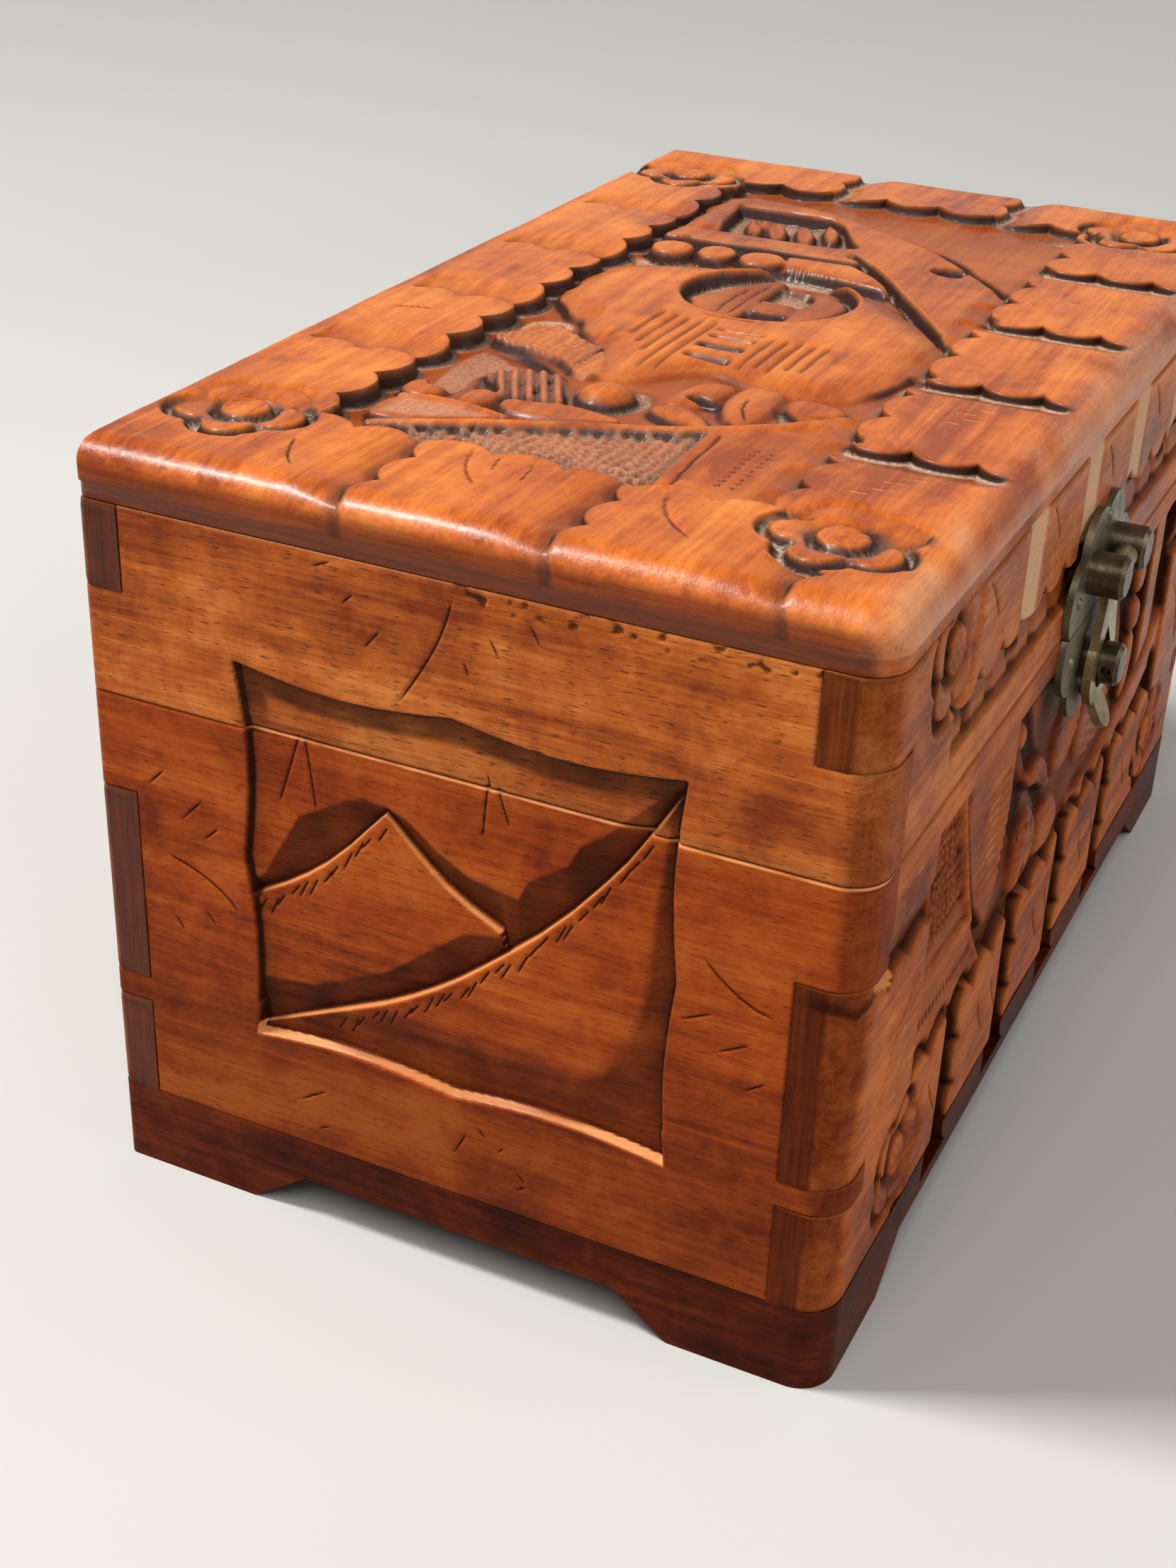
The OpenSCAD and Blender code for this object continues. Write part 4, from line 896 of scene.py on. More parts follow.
def height_of(x, points):
    """The height over x of a line that runs from left to right."""
    return np.interp(x, *zip(*points))


def draw_end(relief):
    """The framed mountains and the cut marks around them."""
    x, z = relief.x, relief.y
    frame_way = from_outline(x, z, bracket(FRAME_CORNERS, FRAME_BOWS))
    far, near = height_of(x, FAR_RIDGE), height_of(x, NEAR_RIDGE)
    side = height_of(z, SIDE_CREASE)
    low = np.maximum((45.4 - z) / 10, (x - side) / (35.4 - side))
    draw_mountains(relief, frame_way, far, near, low)
    shade_mountains(relief, frame_way, far, near, low)
    draw_end_strokes(relief)
    relief.depth += 0.04 * (1 + waves(x, z, 30, 11))


def draw_mountains(relief, frame_way, far, near, low):
    """The sunk sky, the far mountain and the near slope inside the frame."""
    x, z = relief.x, relief.y

    def fall(crease, ridge):
        high = height_of(x, crease)
        return np.clip((high - z) / np.maximum(high - ridge, 1), 0, 1)

    floor = 1.2 + 1.5 * fall(SKY_CREASE, np.maximum(far, near))
    behind = 1.0 + 1.6 * fall(HILL_CREASE, near)
    front = 0.6 + 1.3 * np.clip(low, 0, 1)
    floor = floor + (behind - floor) * smooth(0.5 + (far - z) / 0.42)
    floor = floor + (front - floor) * smooth(0.5 + (near - z) / 0.42)
    bevel = np.clip(-frame_way / 0.8, 0, 1)
    inside = smooth(0.5 - frame_way / 0.4)
    # The frame's lower edge has a flat bevel, the other edges are cut straight down.
    foot = np.where(np.abs(x) < 35, bevel, np.minimum(inside, bevel))
    relief.depth = floor * np.where(z < 40, foot, inside)


def shade_mountains(relief, frame_way, far, near, low):
    """Painted shade where the floor falls and faces down, with a clean edge along each crease, a painted
    shadow under the frame's upper edge, and painted highlights on the crests and the sill.
    """
    x, z = relief.x, relief.y
    over_far, over_near = smooth((z - far) / 0.4), smooth((z - near) / 0.4)
    dark = smooth((height_of(x, SKY_CREASE) - z) / 0.8) * over_far * over_near
    dark = np.maximum(dark, smooth((height_of(x, HILL_CREASE) - z) / 0.8) * (1 - over_far) * over_near)
    dark = np.maximum(dark, 0.75 * smooth(low * 4) * (1 - over_near))
    # A painted shadow cast by the frame's upper edge.
    dark = np.maximum(dark, smooth((frame_way + 4.6) / 1.5) * smooth((z - 88) / 6))
    relief.ink = 0.62 * dark * smooth(-frame_way / 0.5) * (0.85 + 0.15 * waves(x, z, 12, 14))
    near_crest, far_crest = (np.exp(-((z - ridge + 0.1) / 0.3) ** 2) for ridge in (near, far))
    crest = np.maximum(near_crest, far_crest * over_near)
    sill = smooth(0.5 - frame_way / 0.4) * smooth((frame_way + 0.9) / 0.2) * (1 - smooth(z - 35.4))
    sill_highlight = 0.7 + 0.25 * smooth((np.abs(x) - 14) / 14)
    relief.bare = 0.85 * crest * smooth(-frame_way / 1.5) + sill * sill_highlight


def draw_end_strokes(relief):
    """Short steep strokes below the ridges, and the cuts on and outside the frame."""
    for ridge, start, stop, count in ((FAR_RIDGE, -34, -12.6, 12), (NEAR_RIDGE, -20, 31, 27)):
        for i in range(count):
            px = start + (stop - start) * (i + 0.25 * math.sin(i * 2.4)) / (count - 1)
            py = height_of(px, ridge) - 1.2 - 0.5 * math.sin(i * 1.3)
            length = 3.4 + 0.8 * math.sin(i * 1.7)
            relief.groove([(px + 0.4, py), (px - 1.5, py - length)], 0.6, 0.4, ends=0.2, ink=0.9)
    for x0, z0, x1, z1 in SEAM_STROKES:
        relief.groove([(x0, z0), (x1, z1)], 0.6, 0.45, ends=0.12, ink=0.9)
    for arc in ARCS:
        relief.groove(curve(arc), 0.65, 0.45, ends=0.2, ink=0.85)
    for x0, z0, x1, z1 in DASHES:
        relief.groove([(x0, z0), (x1, z1)], 0.6, 0.4, ends=0.4, ink=0.85)


def draw_lid_end(relief):
    """The upper part of an end's scene, on the lid."""
    draw_end(relief)
    # The lid lies a little behind the body's edge, which then catches the light.
    relief.depth += 0.5 * smooth((SEAM_Z + 2.4 - relief.y) / 2.4) * smooth((relief.x + 38) / 5)
    # Small torn chips along the upper edge, darkened with painted shade.
    x, z = relief.x, relief.y
    rough = waves(x * 0.7, z, 2.2, 12) + 0.8 * waves(x, z, 4.5, 13)
    chips = smooth((rough - 0.6) / 0.5) * smooth((z - TOP_Z + 3.6) / 1.6) * smooth((x + 4) / 6)
    relief.depth += 0.3 * chips
    relief.most(ink=0.6 * chips)


def draw_body_end(relief):
    """The lower part of an end's scene, on the body."""
    draw_end(relief)
    # The upper edge is worn off where the lid strikes it, and a painted highlight runs along it.
    edge = smooth((relief.x + 38) / 4) * (0.8 + 0.2 * waves(relief.x, relief.y, 7, 15))
    relief.depth += 0.3 * np.clip((relief.y - SEAM_Z + 0.35) / 0.35, 0, 1) * edge
    relief.most(bare=smooth((relief.y - SEAM_Z + 0.4) / 0.3) * edge)
    # Painted shade: the lower part is darker, most of all below the frame.
    relief.most(ink=0.24 * smooth((60 - relief.y) / 34) * (1 - relief.bare))
    # A painted highlight along the board's lower edge.
    relief.most(bare=0.66 * smooth((WALL_Z + 0.5 - relief.y) / 0.3))


def draw_plain(relief):
    """A plain board with the slow unevenness of a plane."""
    relief.depth += 0.05 * (1 + waves(relief.x, relief.y, 35, 21))


# Heights on the lid's front: the sunk band's lower edge, the cusps of its upper edge and the leaves' lower
# end, and where each leaf starts to rise again across it.
BAND_LOW = 95.6
BAND_HIGH = 105.2
LEAVES_LOW = 101.8
LID_FRONT_LEAVES = (-38.3, -4.6, 27.4, 60.4)


def blossom_pair(relief, away, height, radius, ways, deep, below=FAR):
    """A blossom near each end of a front, with painted shade in the deep hollows where the board lies below a
    height.
    """
    for side, way in zip((-1, 1), ways):
        relief.blossom(side * away, height, radius, way, deep)
    close = (np.abs(np.abs(relief.x) - away) < 15) & (relief.y < below)
    relief.most(close, ink=0.7 * smooth(relief.depth - 1.1))
    return close


def draw_lid_front(relief):
    """Overlapping leaves over a sunk band, with a plain strip along the seam."""
    x, z = relief.x, relief.y
    band = smooth(0.5 + (80 - np.abs(x)) / 0.8) * smooth(0.5 + (z - BAND_LOW) / 0.6)
    band = band * smooth(0.5 + (BAND_HIGH - lobes(x, SCALLOP_PITCH, SCALLOP_RISE) - z) / 0.6)
    cusp = smooth(1 - np.abs(x / SCALLOP_PITCH - np.round(x / SCALLOP_PITCH)) * 4)
    relief.depth = band * (1.3 + 0.7 * smooth((z - 97) / 5) + 0.5 * cusp)
    relief.dust = 0.12 * band * smooth((z - 99) / 3)
    leaves = (z > LEAVES_LOW) & (band < 0.5) & (np.abs(x) < 92)
    for edge in LID_FRONT_LEAVES:
        near = leaves & (np.abs(x - edge + 5.5) < 9)
        gone = x - (edge - 10.5)
        ramp = smooth(gone / 1.6) * (1 - np.clip((gone - 1.0) / 9.5, 0, 1)) * (gone < 12)
        # The ramps' pale tone and dusty look are a painted highlight where they face the light.
        relief.most(near, depth=1.5 * ramp, bare=0.8 * smooth(ramp * 5), dust=0.9 * smooth(ramp * 4))
        # Painted shade darkens the sunk band beside each leaf's edge.
        relief.most(ink=0.9 * band * smooth((4.5 - np.abs(x - edge + 7.5)) / 2) * smooth((z - 97.5) / 2))
    close = blossom_pair(relief, away=82.0, height=113.9, radius=10.4, ways=(175, 195), deep=2.3)
    relief.dust = np.where(close, 0.3 * relief.dust, relief.dust)
    for px, pz in ((-70, 122), (-37, 122), (-3, 121), (30, 122), (52, 121)):
        relief.groove(curve([(px, pz - 2), (px + 4, pz - 5), (px + 8.5, pz - 12)]), 0.8, 0.5)
    relief.groove([(-80, SEAM_Z + 6.2), (80, SEAM_Z + 6.2)], 0.6, 0.15, ends=0.02)
    relief.depth += 0.06 * (1 + waves(x, z, 24, 31))


# The scene on the body's front, from its lower left to its upper right corner, and the ends of the leaves
# under it.
FRONT_FIELD = (-79.0, 37.1, 79.0, 83.0)
UNDER_LEAVES = (-50.8, -17.8, 15.0, 49.2)


def draw_front(relief):
    """The scene on the front of the body, much like the lid's, over a row of leaves."""
    x, z = relief.x, relief.y
    x0, z0, x1, z1 = FRONT_FIELD
    over_leaves = z - z0 - lobes(x + 0.7, 11.3, SCALLOP_RISE)
    rim = np.minimum(np.minimum(x - x0, x1 - x), np.minimum(z1 - z, over_leaves))
    inside = smooth(0.5 + rim / 0.7)
    relief.depth = (2.2 + 0.3 * waves(x, z, 15, 41)) * inside
    for draw in (draw_front_slope, draw_front_knobs, draw_front_chain):
        draw(relief)
    # The ground falls away towards the tips of the leaves below, darkened there with painted shade.
    toe = smooth(1 - over_leaves / 4.5)
    relief.depth = np.maximum(relief.depth, 2.2 * toe) * inside
    relief.ink = np.maximum(relief.ink, 0.5 * np.maximum(toe, smooth(relief.depth - 1.9))) * inside
    # Painted shade darkens the deepest hollows almost to black.
    relief.most(ink=0.85 * inside * smooth((relief.depth - 2.5) / 0.4))
    relief.dust = np.maximum(0.3 * relief.dust, 0.1 * smooth(relief.depth - 2.1)) * inside
    draw_front_leaves(relief, rim < 0.3)
    draw_front_marks(relief)
    blossom_pair(relief, away=81.5, height=26.5, radius=10.2, ways=(160, 200), deep=2.6, below=42)
    relief.dust *= 0.3
    relief.depth += 0.06 * (1 + waves(x, z, 24, 42))


def draw_front_slope(relief):
    """At the left a punched slope with its ridge, hatched ground and a fringe of ticks."""
    slope = [(-80, 84), (-67, 84), (-60, 66), (-55, 56), (-80, 57)]
    hill = [(-80, 57), (-55, 55.6), (-47, 44), (-40, 36), (-80, 36)]
    relief.form(hill, 0.7, edge=1.2, tilt=(0, -0.04), soft=False)
    relief.form(slope, 0.9, edge=1.2, soft=False)
    relief.punch([(-78.5, 82), (-68, 82), (-58, 60), (-78.5, 60)], 2.8, 1.1, ink=0.5)
    relief.form([(-66, 84), (-34, 84), (-34, 60), (-36, 52), (-42, 46), (-52, 56)], 0.8, edge=1.2, soft=False)
    relief.hatch([(-51.5, 75), (-37, 75), (-34.5, 60), (-36, 53), (-50.5, 54)], 0, 2.3, 0.8)
    relief.punch([(-65.4, 82.4), (-60.8, 82.4), (-59.8, 70.4), (-61.6, 70.2)], 2.6, 1.0, ink=0.5)
    for i in range(9):
        pz = 75.4 - 2.35 * i
        stroke = [(-51 + 0.5 * i, pz), (-37.6 + (i % 3), pz + 0.3)]
        relief.groove(stroke, 0.9, 0.35, ends=0.4, ink=0, bare=0.78)
    relief.ridge(curve([(-66.5, 83), (-60, 68), (-55, 56), (-47, 45), (-40, 37)]), 1.9, 0.15)
    relief.groove(curve([(-54, 54.5), (-47, 46), (-42, 40), (-40, 37)]), 1.2, 0.9, ends=0.1)
    for i in range(16):
        px = -78 + i * 1.75
        relief.groove([(px, 48.8), (px + 1.3, 45.6)], 0.9, 0.6, ends=0.2, ink=0.9)


def draw_front_knobs(relief):
    """The knobs, leaves and deep hollows in the middle, under and beside the clasp."""
    relief.sink([(-32.6, 83), (-26, 83), (-18, 70), (-6, 56), (-4, 50), (-12, 55), (-22, 66), (-28, 77)], 3.0)
    relief.sink([(-34.6, 70), (-30, 71), (-22.5, 63), (-20, 56), (-26, 54), (-33, 63)], 3.0)
    relief.form([(-33, 80), (-28.5, 79), (-28, 74.6), (-32, 73.6), (-34.6, 76.6)], 0.7, dome=0.7, reach=2)
    leaf = [(-25, 66), (-14, 67), (-6, 58), (-8, 55), (-14, 60), (-21, 62)]
    relief.form(leaf, 0.5, dome=0.6, reach=2)
    relief.hatch(leaf, -38, 1.8, 0.5)
    knob = [(-26, 50), (-23.5, 56.4), (-16, 57), (-11.6, 52), (-12.4, 46), (-20, 42), (-26.4, 43)]
    relief.form(knob, 0.3, dome=1.0, reach=4)
    relief.sink([(-21.8, 46.4), (-19.6, 46.6), (-19.4, 43.6), (-21.4, 43.4)], 2.4, edge=0.6)
    for i in range(4):
        relief.groove([(-24 + i * 3, 52.6 + (i % 2)), (-22.6 + i * 3, 56 - 0.4 * i)], 0.9, 0.5, ends=0.3)
    relief.form([(-12, 50), (-5, 53), (3, 50), (6, 45), (0, 40), (-10, 42)], 0.6, dome=0.8, reach=3)
    relief.hatch([(-2, 66), (12, 68), (14, 58), (4, 54)], 12, 1.9, 0.5)
    relief.form([(-3, 69), (12, 70), (15, 60), (4, 53), (-6, 58)], 0.8, dome=0.5, reach=3)
    relief.hatch([(-2, 68), (12, 69), (14, 59), (4, 54)], 12, 1.9, 0.5)
    mound = [(17, 62), (30, 62), (41, 56), (38, 47), (20, 47), (14, 52)]
    relief.form(mound, 1.2, dome=0.5, reach=3)
    relief.hatch(mound, -20, 2.2, 0.5)


def draw_front_chain(relief):
    """At the right the chain of lobes, the strip, a hollow and the sweeping band."""
    relief.sink([(40, 84), (58, 84), (57, 60), (54, 46), (48, 48), (45, 60), (42, 74)], 2.8)
    for py in (74.6, 66.6):
        relief.form(oval(50.6, py, 4, 4, 14), 0.4, edge=0.7, dome=0.9, reach=2.5, soft=False)
    relief.form([(47, 63), (54, 63), (53.4, 51), (46, 47.6)], 0.6, dome=0.4)
    relief.form([(57.4, 84), (66.4, 84), (66, 56), (57.4, 51)], 0.4, edge=0.9, soft=False)
    relief.sink([(66.8, 84), (79, 84), (80, 62), (72, 57), (66.6, 57)], 2.9)
    band = [
        (14, 42.6), (30, 43.4), (48, 47.4), (64, 51.4), (79, 57.6), (79, 47), (60, 41), (40, 37), (14, 37)]
    relief.form(band, 0.4, edge=0.9, dome=0.5, reach=3, soft=False)
    relief.sink([(71, 47.5), (74, 50.4), (79, 46), (79, 40.5), (74, 42.6)], 2.9)


def draw_front_leaves(relief, border):
    """The leaves under and beside the front's scene."""
    x, z = relief.x, relief.y
    under = border & (z < 41) & (x < 78)
    leaf_row(relief, under, x, UNDER_LEAVES, -1, lobes(z - 29.9, 9.4, 3.0), 12, 2.7, ink=0.8)
    beside = (np.abs(x) > 79.2) & (z > 38)
    deep = 1.9 * smooth((105.5 - np.abs(x)) / 3)
    leaf_row(relief, beside, z, (67.6,), 1, lobes(np.abs(x) - 87.9, 10.0, 2.0), 11, deep, ink=0.6,
             lead=7, reach=10)


def draw_front_marks(relief):
    """The veins and light strokes on the front's border, and the chip near its left corner."""
    for way in (-1, 1):
        vein = [(way * 98, 39), (way * 94, 50), (way * 88, 58), (way * 80.5, 62)]
        relief.groove(curve(vein), 1.6, 0.6, ink=0, bare=0.9)
        for px, pz in ((-88, 82), (-89.5, 76), (-86.5, 53.5), (-87, 48.4), (-89, 42.4), (-94, 60)):
            stroke = [(way * px - 3, pz - 0.3), (way * px + 3, pz + 0.4)]
            relief.groove(stroke, 1.1, 0.3, ends=0.4, ink=0, bare=0.9)
    chip = [(-104.2, 70.8), (-95.6, 71.7), (-95.4, 70), (-96, 66.5), (-99.9, 68.2)]
    relief.sink(chip, 2.0, edge=0.6)
    relief.bare = np.where(from_outline(relief.x, relief.y, rounded(chip)) < 0.2, 1.0, relief.bare)
    for px in (-68, -42, -34, -8, 0, 24, 33, 58):
        relief.groove(curve([(px, 33), (px + 2.5, 27), (px + 7, 21)]), 0.8, 0.45)


def bend_to_border(relief):
    """Bends the lid's grid lines along its scallops and the lobes of its leaves, for clean walls."""
    tips = scallops(relief.x, FIELD_MID[0])
    relief.y = follow(follow(relief.y, FIELD[1], 10, tips), FIELD[3], 10, -tips)
    tips = scallops(relief.y, FIELD_MID[1])
    relief.x = follow(follow(relief.x, FIELD[0], 10, tips), FIELD[2], 10, -tips)
    tips = -leaf_tips(relief.y, FRONT_LOBES) * smooth((FIELD[1] + 5 - relief.y) / 5)
    for edge in FRONT_LEAVES:
        relief.x = follow(relief.x, edge, 9, tips)
    tips = leaf_tips(relief.x, LEFT_LOBES) * smooth((FIELD[0] + 5 - relief.x) / 5)
    for edge in LEFT_LEAVES:
        relief.y = follow(relief.y, edge, 9, tips)


def top_slab(name, draw, step):
    """The lid's top board: rounded over along its front and ends, eased along its back."""
    ease = 0.9
    across = bent(HALF_LEN, EDGE_R, EDGE_R, step, (FIELD[0], FIELD[2]) + FRONT_LEAVES)
    up = bent(HALF_WID, EDGE_R, ease, step, (FIELD[1], FIELD[3]) + LEFT_LEAVES)
    relief = Relief(across, up, upright=False)
    front_in = curve_drop(np.abs(relief.x) - HALF_LEN + CORNER_R, CORNER_R)
    back_in = curve_drop(np.abs(relief.x) - HALF_LEN + BACK_R, BACK_R)
    share = (relief.y + HALF_WID) / (2 * HALF_WID)
    relief.y = (-HALF_WID + front_in) * (1 - share) + (HALF_WID - back_in) * share
    bend_to_border(relief)
    carve(relief, draw)
    over_x = np.abs(relief.x) - (HALF_LEN - EDGE_R)
    over_y = -relief.y - (HALF_WID - EDGE_R)
    over = np.where((over_x > 0) & (over_y > 0), np.hypot(over_x, over_y), np.maximum(over_x, over_y))
    drop = np.maximum(curve_drop(over, EDGE_R), curve_drop(relief.y - HALF_WID + ease, ease))
    relief.depth *= smooth((EDGE_R - 0.6 - over) / 3)

    def place(x, y, depth):
        return np.stack([x, WALL_MID + y, CROWN_Z - depth], -1)

    def ring(z, inset):
        shrink_x, shrink_y = 1 - inset / HALF_LEN, 1 - inset / HALF_WID
        return lambda x, y: np.stack([x * shrink_x, WALL_MID + y * shrink_y, np.full_like(x, z)], -1)

    carved = relief.depth.copy()
    relief.depth = carved + drop
    flat_z = CROWN_Z - EDGE_R
    levels = [ring(flat_z - 0.1, 0.0), ring(flat_z - 0.4, 0.25), ring(TOP_Z + 0.3, 0.25), ring(TOP_Z, 0.5)]

    def grain(x, y):
        return smooth((np.abs(x) - HALF_LEN + 1.2) / 1.0)

    return board(name, relief, place, levels, kept_cells(across, up, ()), grain, carved)


# Materials

def srgb(red, green, blue):
    """A colour written as on a screen, 0 to 255, in Blender's linear numbers."""
    def linear(v):
        v /= 255
        return v / 12.92 if v <= 0.04045 else ((v + 0.055) / 1.055) ** 2.4
    return (linear(red), linear(green), linear(blue), 1.0)


FLOOR_GLOW = (1.0, 0.99, 0.97, 1.0)
WORLD_TINT = (1.0, 0.985, 0.96, 1.0)
HOLLOW_SHADE = srgb(70, 22, 6)
WALL_SHADE_AND_GRIME = srgb(34, 10, 4)
BARE_WOOD_AND_HIGHLIGHT = srgb(214, 144, 88)
DUST_AND_LIGHT = srgb(190, 160, 134)
TARNISH = srgb(58, 48, 36)
FLOOR_TONE = srgb(190, 188, 183)


class Look:
    """Short calls for one material's nodes."""

    def __init__(self, name):
        self.material = bpy.data.materials.new(name)
        self.material.use_nodes = True
        self.tree = self.material.node_tree
        self.shader = self.tree.nodes["Principled BSDF"]

    def add(self, kind, inputs, **settings):
        """A node with its settings, whose inputs are values or other nodes' outputs."""
        node = self.tree.nodes.new(kind)
        for key, value in settings.items():
            setattr(node, key, value)
        for key, value in inputs.items():
            self.set(node.inputs[key], value)
        return node

    def set(self, socket, value):
        if isinstance(value, bpy.types.NodeSocket):
            self.tree.links.new(value, socket)
        else:
            socket.default_value = value

    def place(self, scale):
        """The piece's own coordinates in mm, stretched."""
        where = self.add("ShaderNodeTexCoord", {}).outputs["Object"]
        inputs = {"Vector": where, "Scale": tuple(s / MM for s in scale)}
        return self.add("ShaderNodeMapping", inputs).outputs["Vector"]

    def noise(self, scale, detail=4.0, rough=0.6, bend=0.0):
        """Cloudy noise from 0 to 1, whose scale is in waves for each mm."""
        return self.add("ShaderNodeTexNoise", {
            "Vector": self.place(scale), "Scale": 1.0, "Detail": detail, "Roughness": rough,
            "Distortion": bend}).outputs["Fac"]

    def value(self, name):
        """One of the mesh's values for each point."""
        return self.add("ShaderNodeAttribute", {}, attribute_name=name).outputs["Fac"]

    def span(self, value, low, high, to_low=0.0, to_high=1.0):
        """Maps a value from one range to another, kept inside it."""
        inputs = {"Value": value, "From Min": low, "From Max": high, "To Min": to_low, "To Max": to_high}
        return self.add("ShaderNodeMapRange", inputs).outputs["Result"]

    def math(self, operation, a, b):
        return self.add("ShaderNodeMath", {0: a, 1: b}, operation=operation).outputs[0]

    def plus(self, a, b, share=1.0):
        """a and a share of b."""
        return self.math("ADD", a, b if share == 1.0 else self.math("MULTIPLY", b, share))

    def mix(self, share, a, b):
        """Colour a going over to colour b by a share."""
        return self.add("ShaderNodeMix", {0: share, 6: a, 7: b}, data_type="RGBA").outputs[2]

    def ramp(self, value, stops):
        """A colour for each stop of a value, and soft steps between them."""
        node = self.add("ShaderNodeValToRGB", {"Fac": value})
        elements = node.color_ramp.elements
        while len(elements) < len(stops):
            elements.new(0.5)
        for element, (at, colour) in zip(elements, stops):
            element.position = at
            element.color = colour
        return node.outputs["Color"]

    def bump(self, height, distance, strength, normal=None):
        """A normal bent by a height of so many mm, on top of an earlier one."""
        inputs = {"Height": height, "Distance": distance * MM, "Strength": strength}
        if normal is not None:
            inputs["Normal"] = normal
        return self.add("ShaderNodeBump", inputs).outputs["Normal"]

    def finish(self, **sockets):
        """Fills the shader's own sockets and gives the material."""
        for key, value in sockets.items():
            self.set(self.shader.inputs[key.replace("_", " ")], value)
        return self.material


def even(scale):
    """The same texture scale along all three axes."""
    return (scale, scale, scale)


def stretched(axes, long, cross):
    """Texture scales that are long along the axes named and fine across them."""
    return tuple(long if i in axes else cross for i in range(3))


def shade(colour, share):
    """A colour made darker or lighter."""
    return tuple(min(1.0, c * share) for c in colour[:3]) + (1.0,)


def wood(name, tones, axes=(0,), gloss=0.3, depth_shade=0.75, pitted=0.3, coat=0.06, rings=2, sheen=0.2):
    """Varnished carved wood from a dark, a middle and a light tone.

    Its grain runs along the axes named, and the lines that its end grain shows run along rings.
    """
    look = Look(name)
    dark, middle, light = (srgb(*tone) for tone in tones)
    streak = look.noise(stretched(axes, 0.03, 0.8), 6.0, 0.7, 0.4)
    patch = look.noise(even(0.035), 5.0, 0.62, 0.5)
    pores = look.span(look.noise(stretched(axes, 0.4, 3.4), 2.0, 0.5), 0.61, 0.68)
    colour = look.ramp(grain_lines(look, axes, streak, patch), [(0.34, dark), (0.5, middle), (0.66, light)])
    fibre = look.span(look.noise(stretched(axes, 0.12, 2.6), 3.0, 0.6), 0.3, 0.7, 0.0, 0.3 * pitted + 0.08)
    colour = look.mix(fibre, colour, shade(dark, 0.6))
    colour = look.mix(look.math("MULTIPLY", pores, pitted), colour, shade(dark, 0.22))
    ends = look.span(look.noise(stretched((rings,), 0.05, 1.3), 4.0, 0.65), 0.36, 0.66)
    ends = look.mix(ends, shade(dark, 0.34), shade(dark, 0.85))
    colour = look.mix(look.math("MULTIPLY", look.value("end_grain"), 0.92), colour, ends)
    # Lips are paler from wear, and walls facing up paler still as a painted highlight.
    colour = look.mix(look.math("MULTIPLY", look.value("worn_and_lit"), 0.4), colour, shade(light, 1.5))
    colour = carving_shade_and_highlight(look, colour, dark, depth_shade)
    dust = look.math("MULTIPLY", look.value("dust"), look.span(look.noise(even(1.4), 4.0, 0.7), 0.25, 0.6))
    colour = look.mix(dust, colour, DUST_AND_LIGHT)
    rough = look.plus(look.span(patch, 0.3, 0.7, gloss - 0.05, gloss + 0.12), dust, 0.3)
    rough = look.plus(look.plus(rough, look.value("wall"), 0.45), look.value("end_grain"), 0.15)
    normal = look.bump(look.noise(stretched(axes, 0.05, 0.12), 3.0), 0.6, 0.4)
    normal = look.bump(streak, 0.2, 0.5, normal)
    normal = look.bump(look.math("SUBTRACT", 1.0, pores), 0.12 * pitted, 0.7, normal)
    return look.finish(Base_Color=colour, Roughness=rough, Normal=normal, Coat_Weight=coat,
                       Coat_Roughness=0.16, Specular_IOR_Level=sheen)


def grain_lines(look, axes, streak, patch):
    """The wood's figure from 0 to 1: broad flowing lines with fine streaks, patches and mottling."""
    flow = look.noise(stretched(axes, 0.006, 0.07), 6.0, 0.62, 1.6)
    grain = look.plus(look.math("MULTIPLY", flow, 0.6), streak, 0.4)
    grain = look.plus(grain, look.span(patch, 0.3, 0.7, -0.13, 0.13))
    return look.plus(grain, look.span(look.noise(even(0.14), 6.0, 0.7, 0.8), 0.35, 0.65, -0.05, 0.05))


def carving_shade_and_highlight(look, colour, dark, depth_shade):
    """Painted shade in the carving: darker with depth, in hollows and on steep walls, where grime adds to it;
    a pale tone where the wood is rubbed clean or takes a painted highlight.
    """
    colour = look.mix(look.span(look.value("cut"), 0.25, 2.3, 0.0, depth_shade), colour, shade(dark, 0.8))
    colour = look.mix(look.span(look.value("hollow"), 0.12, 1.1, 0.0, 0.7), colour, HOLLOW_SHADE)
    colour = look.mix(look.span(look.value("wall"), 0.0, 0.75, 0.0, 0.96), colour, WALL_SHADE_AND_GRIME)
    return look.mix(look.span(look.value("bare"), 0.45, 0.85, 0.0, 0.9), colour, BARE_WOOD_AND_HIGHLIGHT)


def metal(name, dark, light, gloss=0.35, tarnish=0.6):
    """Old brass: browned, patchy and a little pitted."""
    look = Look(name)
    patch = look.noise(even(0.16), 6.0, 0.65, 0.6)
    fine = look.noise(even(1.8), 4.0, 0.7)
    mixed = look.plus(look.math("MULTIPLY", patch, 0.7), fine, 0.3)
    colour = look.ramp(mixed, [(0.36, srgb(*dark)), (0.62, srgb(*light))])
    colour = look.mix(look.span(look.noise(even(0.5), 5.0, 0.7), 0.56, 0.7, 0.0, tarnish), colour, TARNISH)
    rough = look.span(mixed, 0.3, 0.7, gloss + 0.16, gloss - 0.05)
    normal = look.bump(patch, 0.2, 0.4, look.bump(fine, 0.05, 0.5))
    return look.finish(Base_Color=colour, Roughness=rough, Normal=normal, Metallic=0.85)


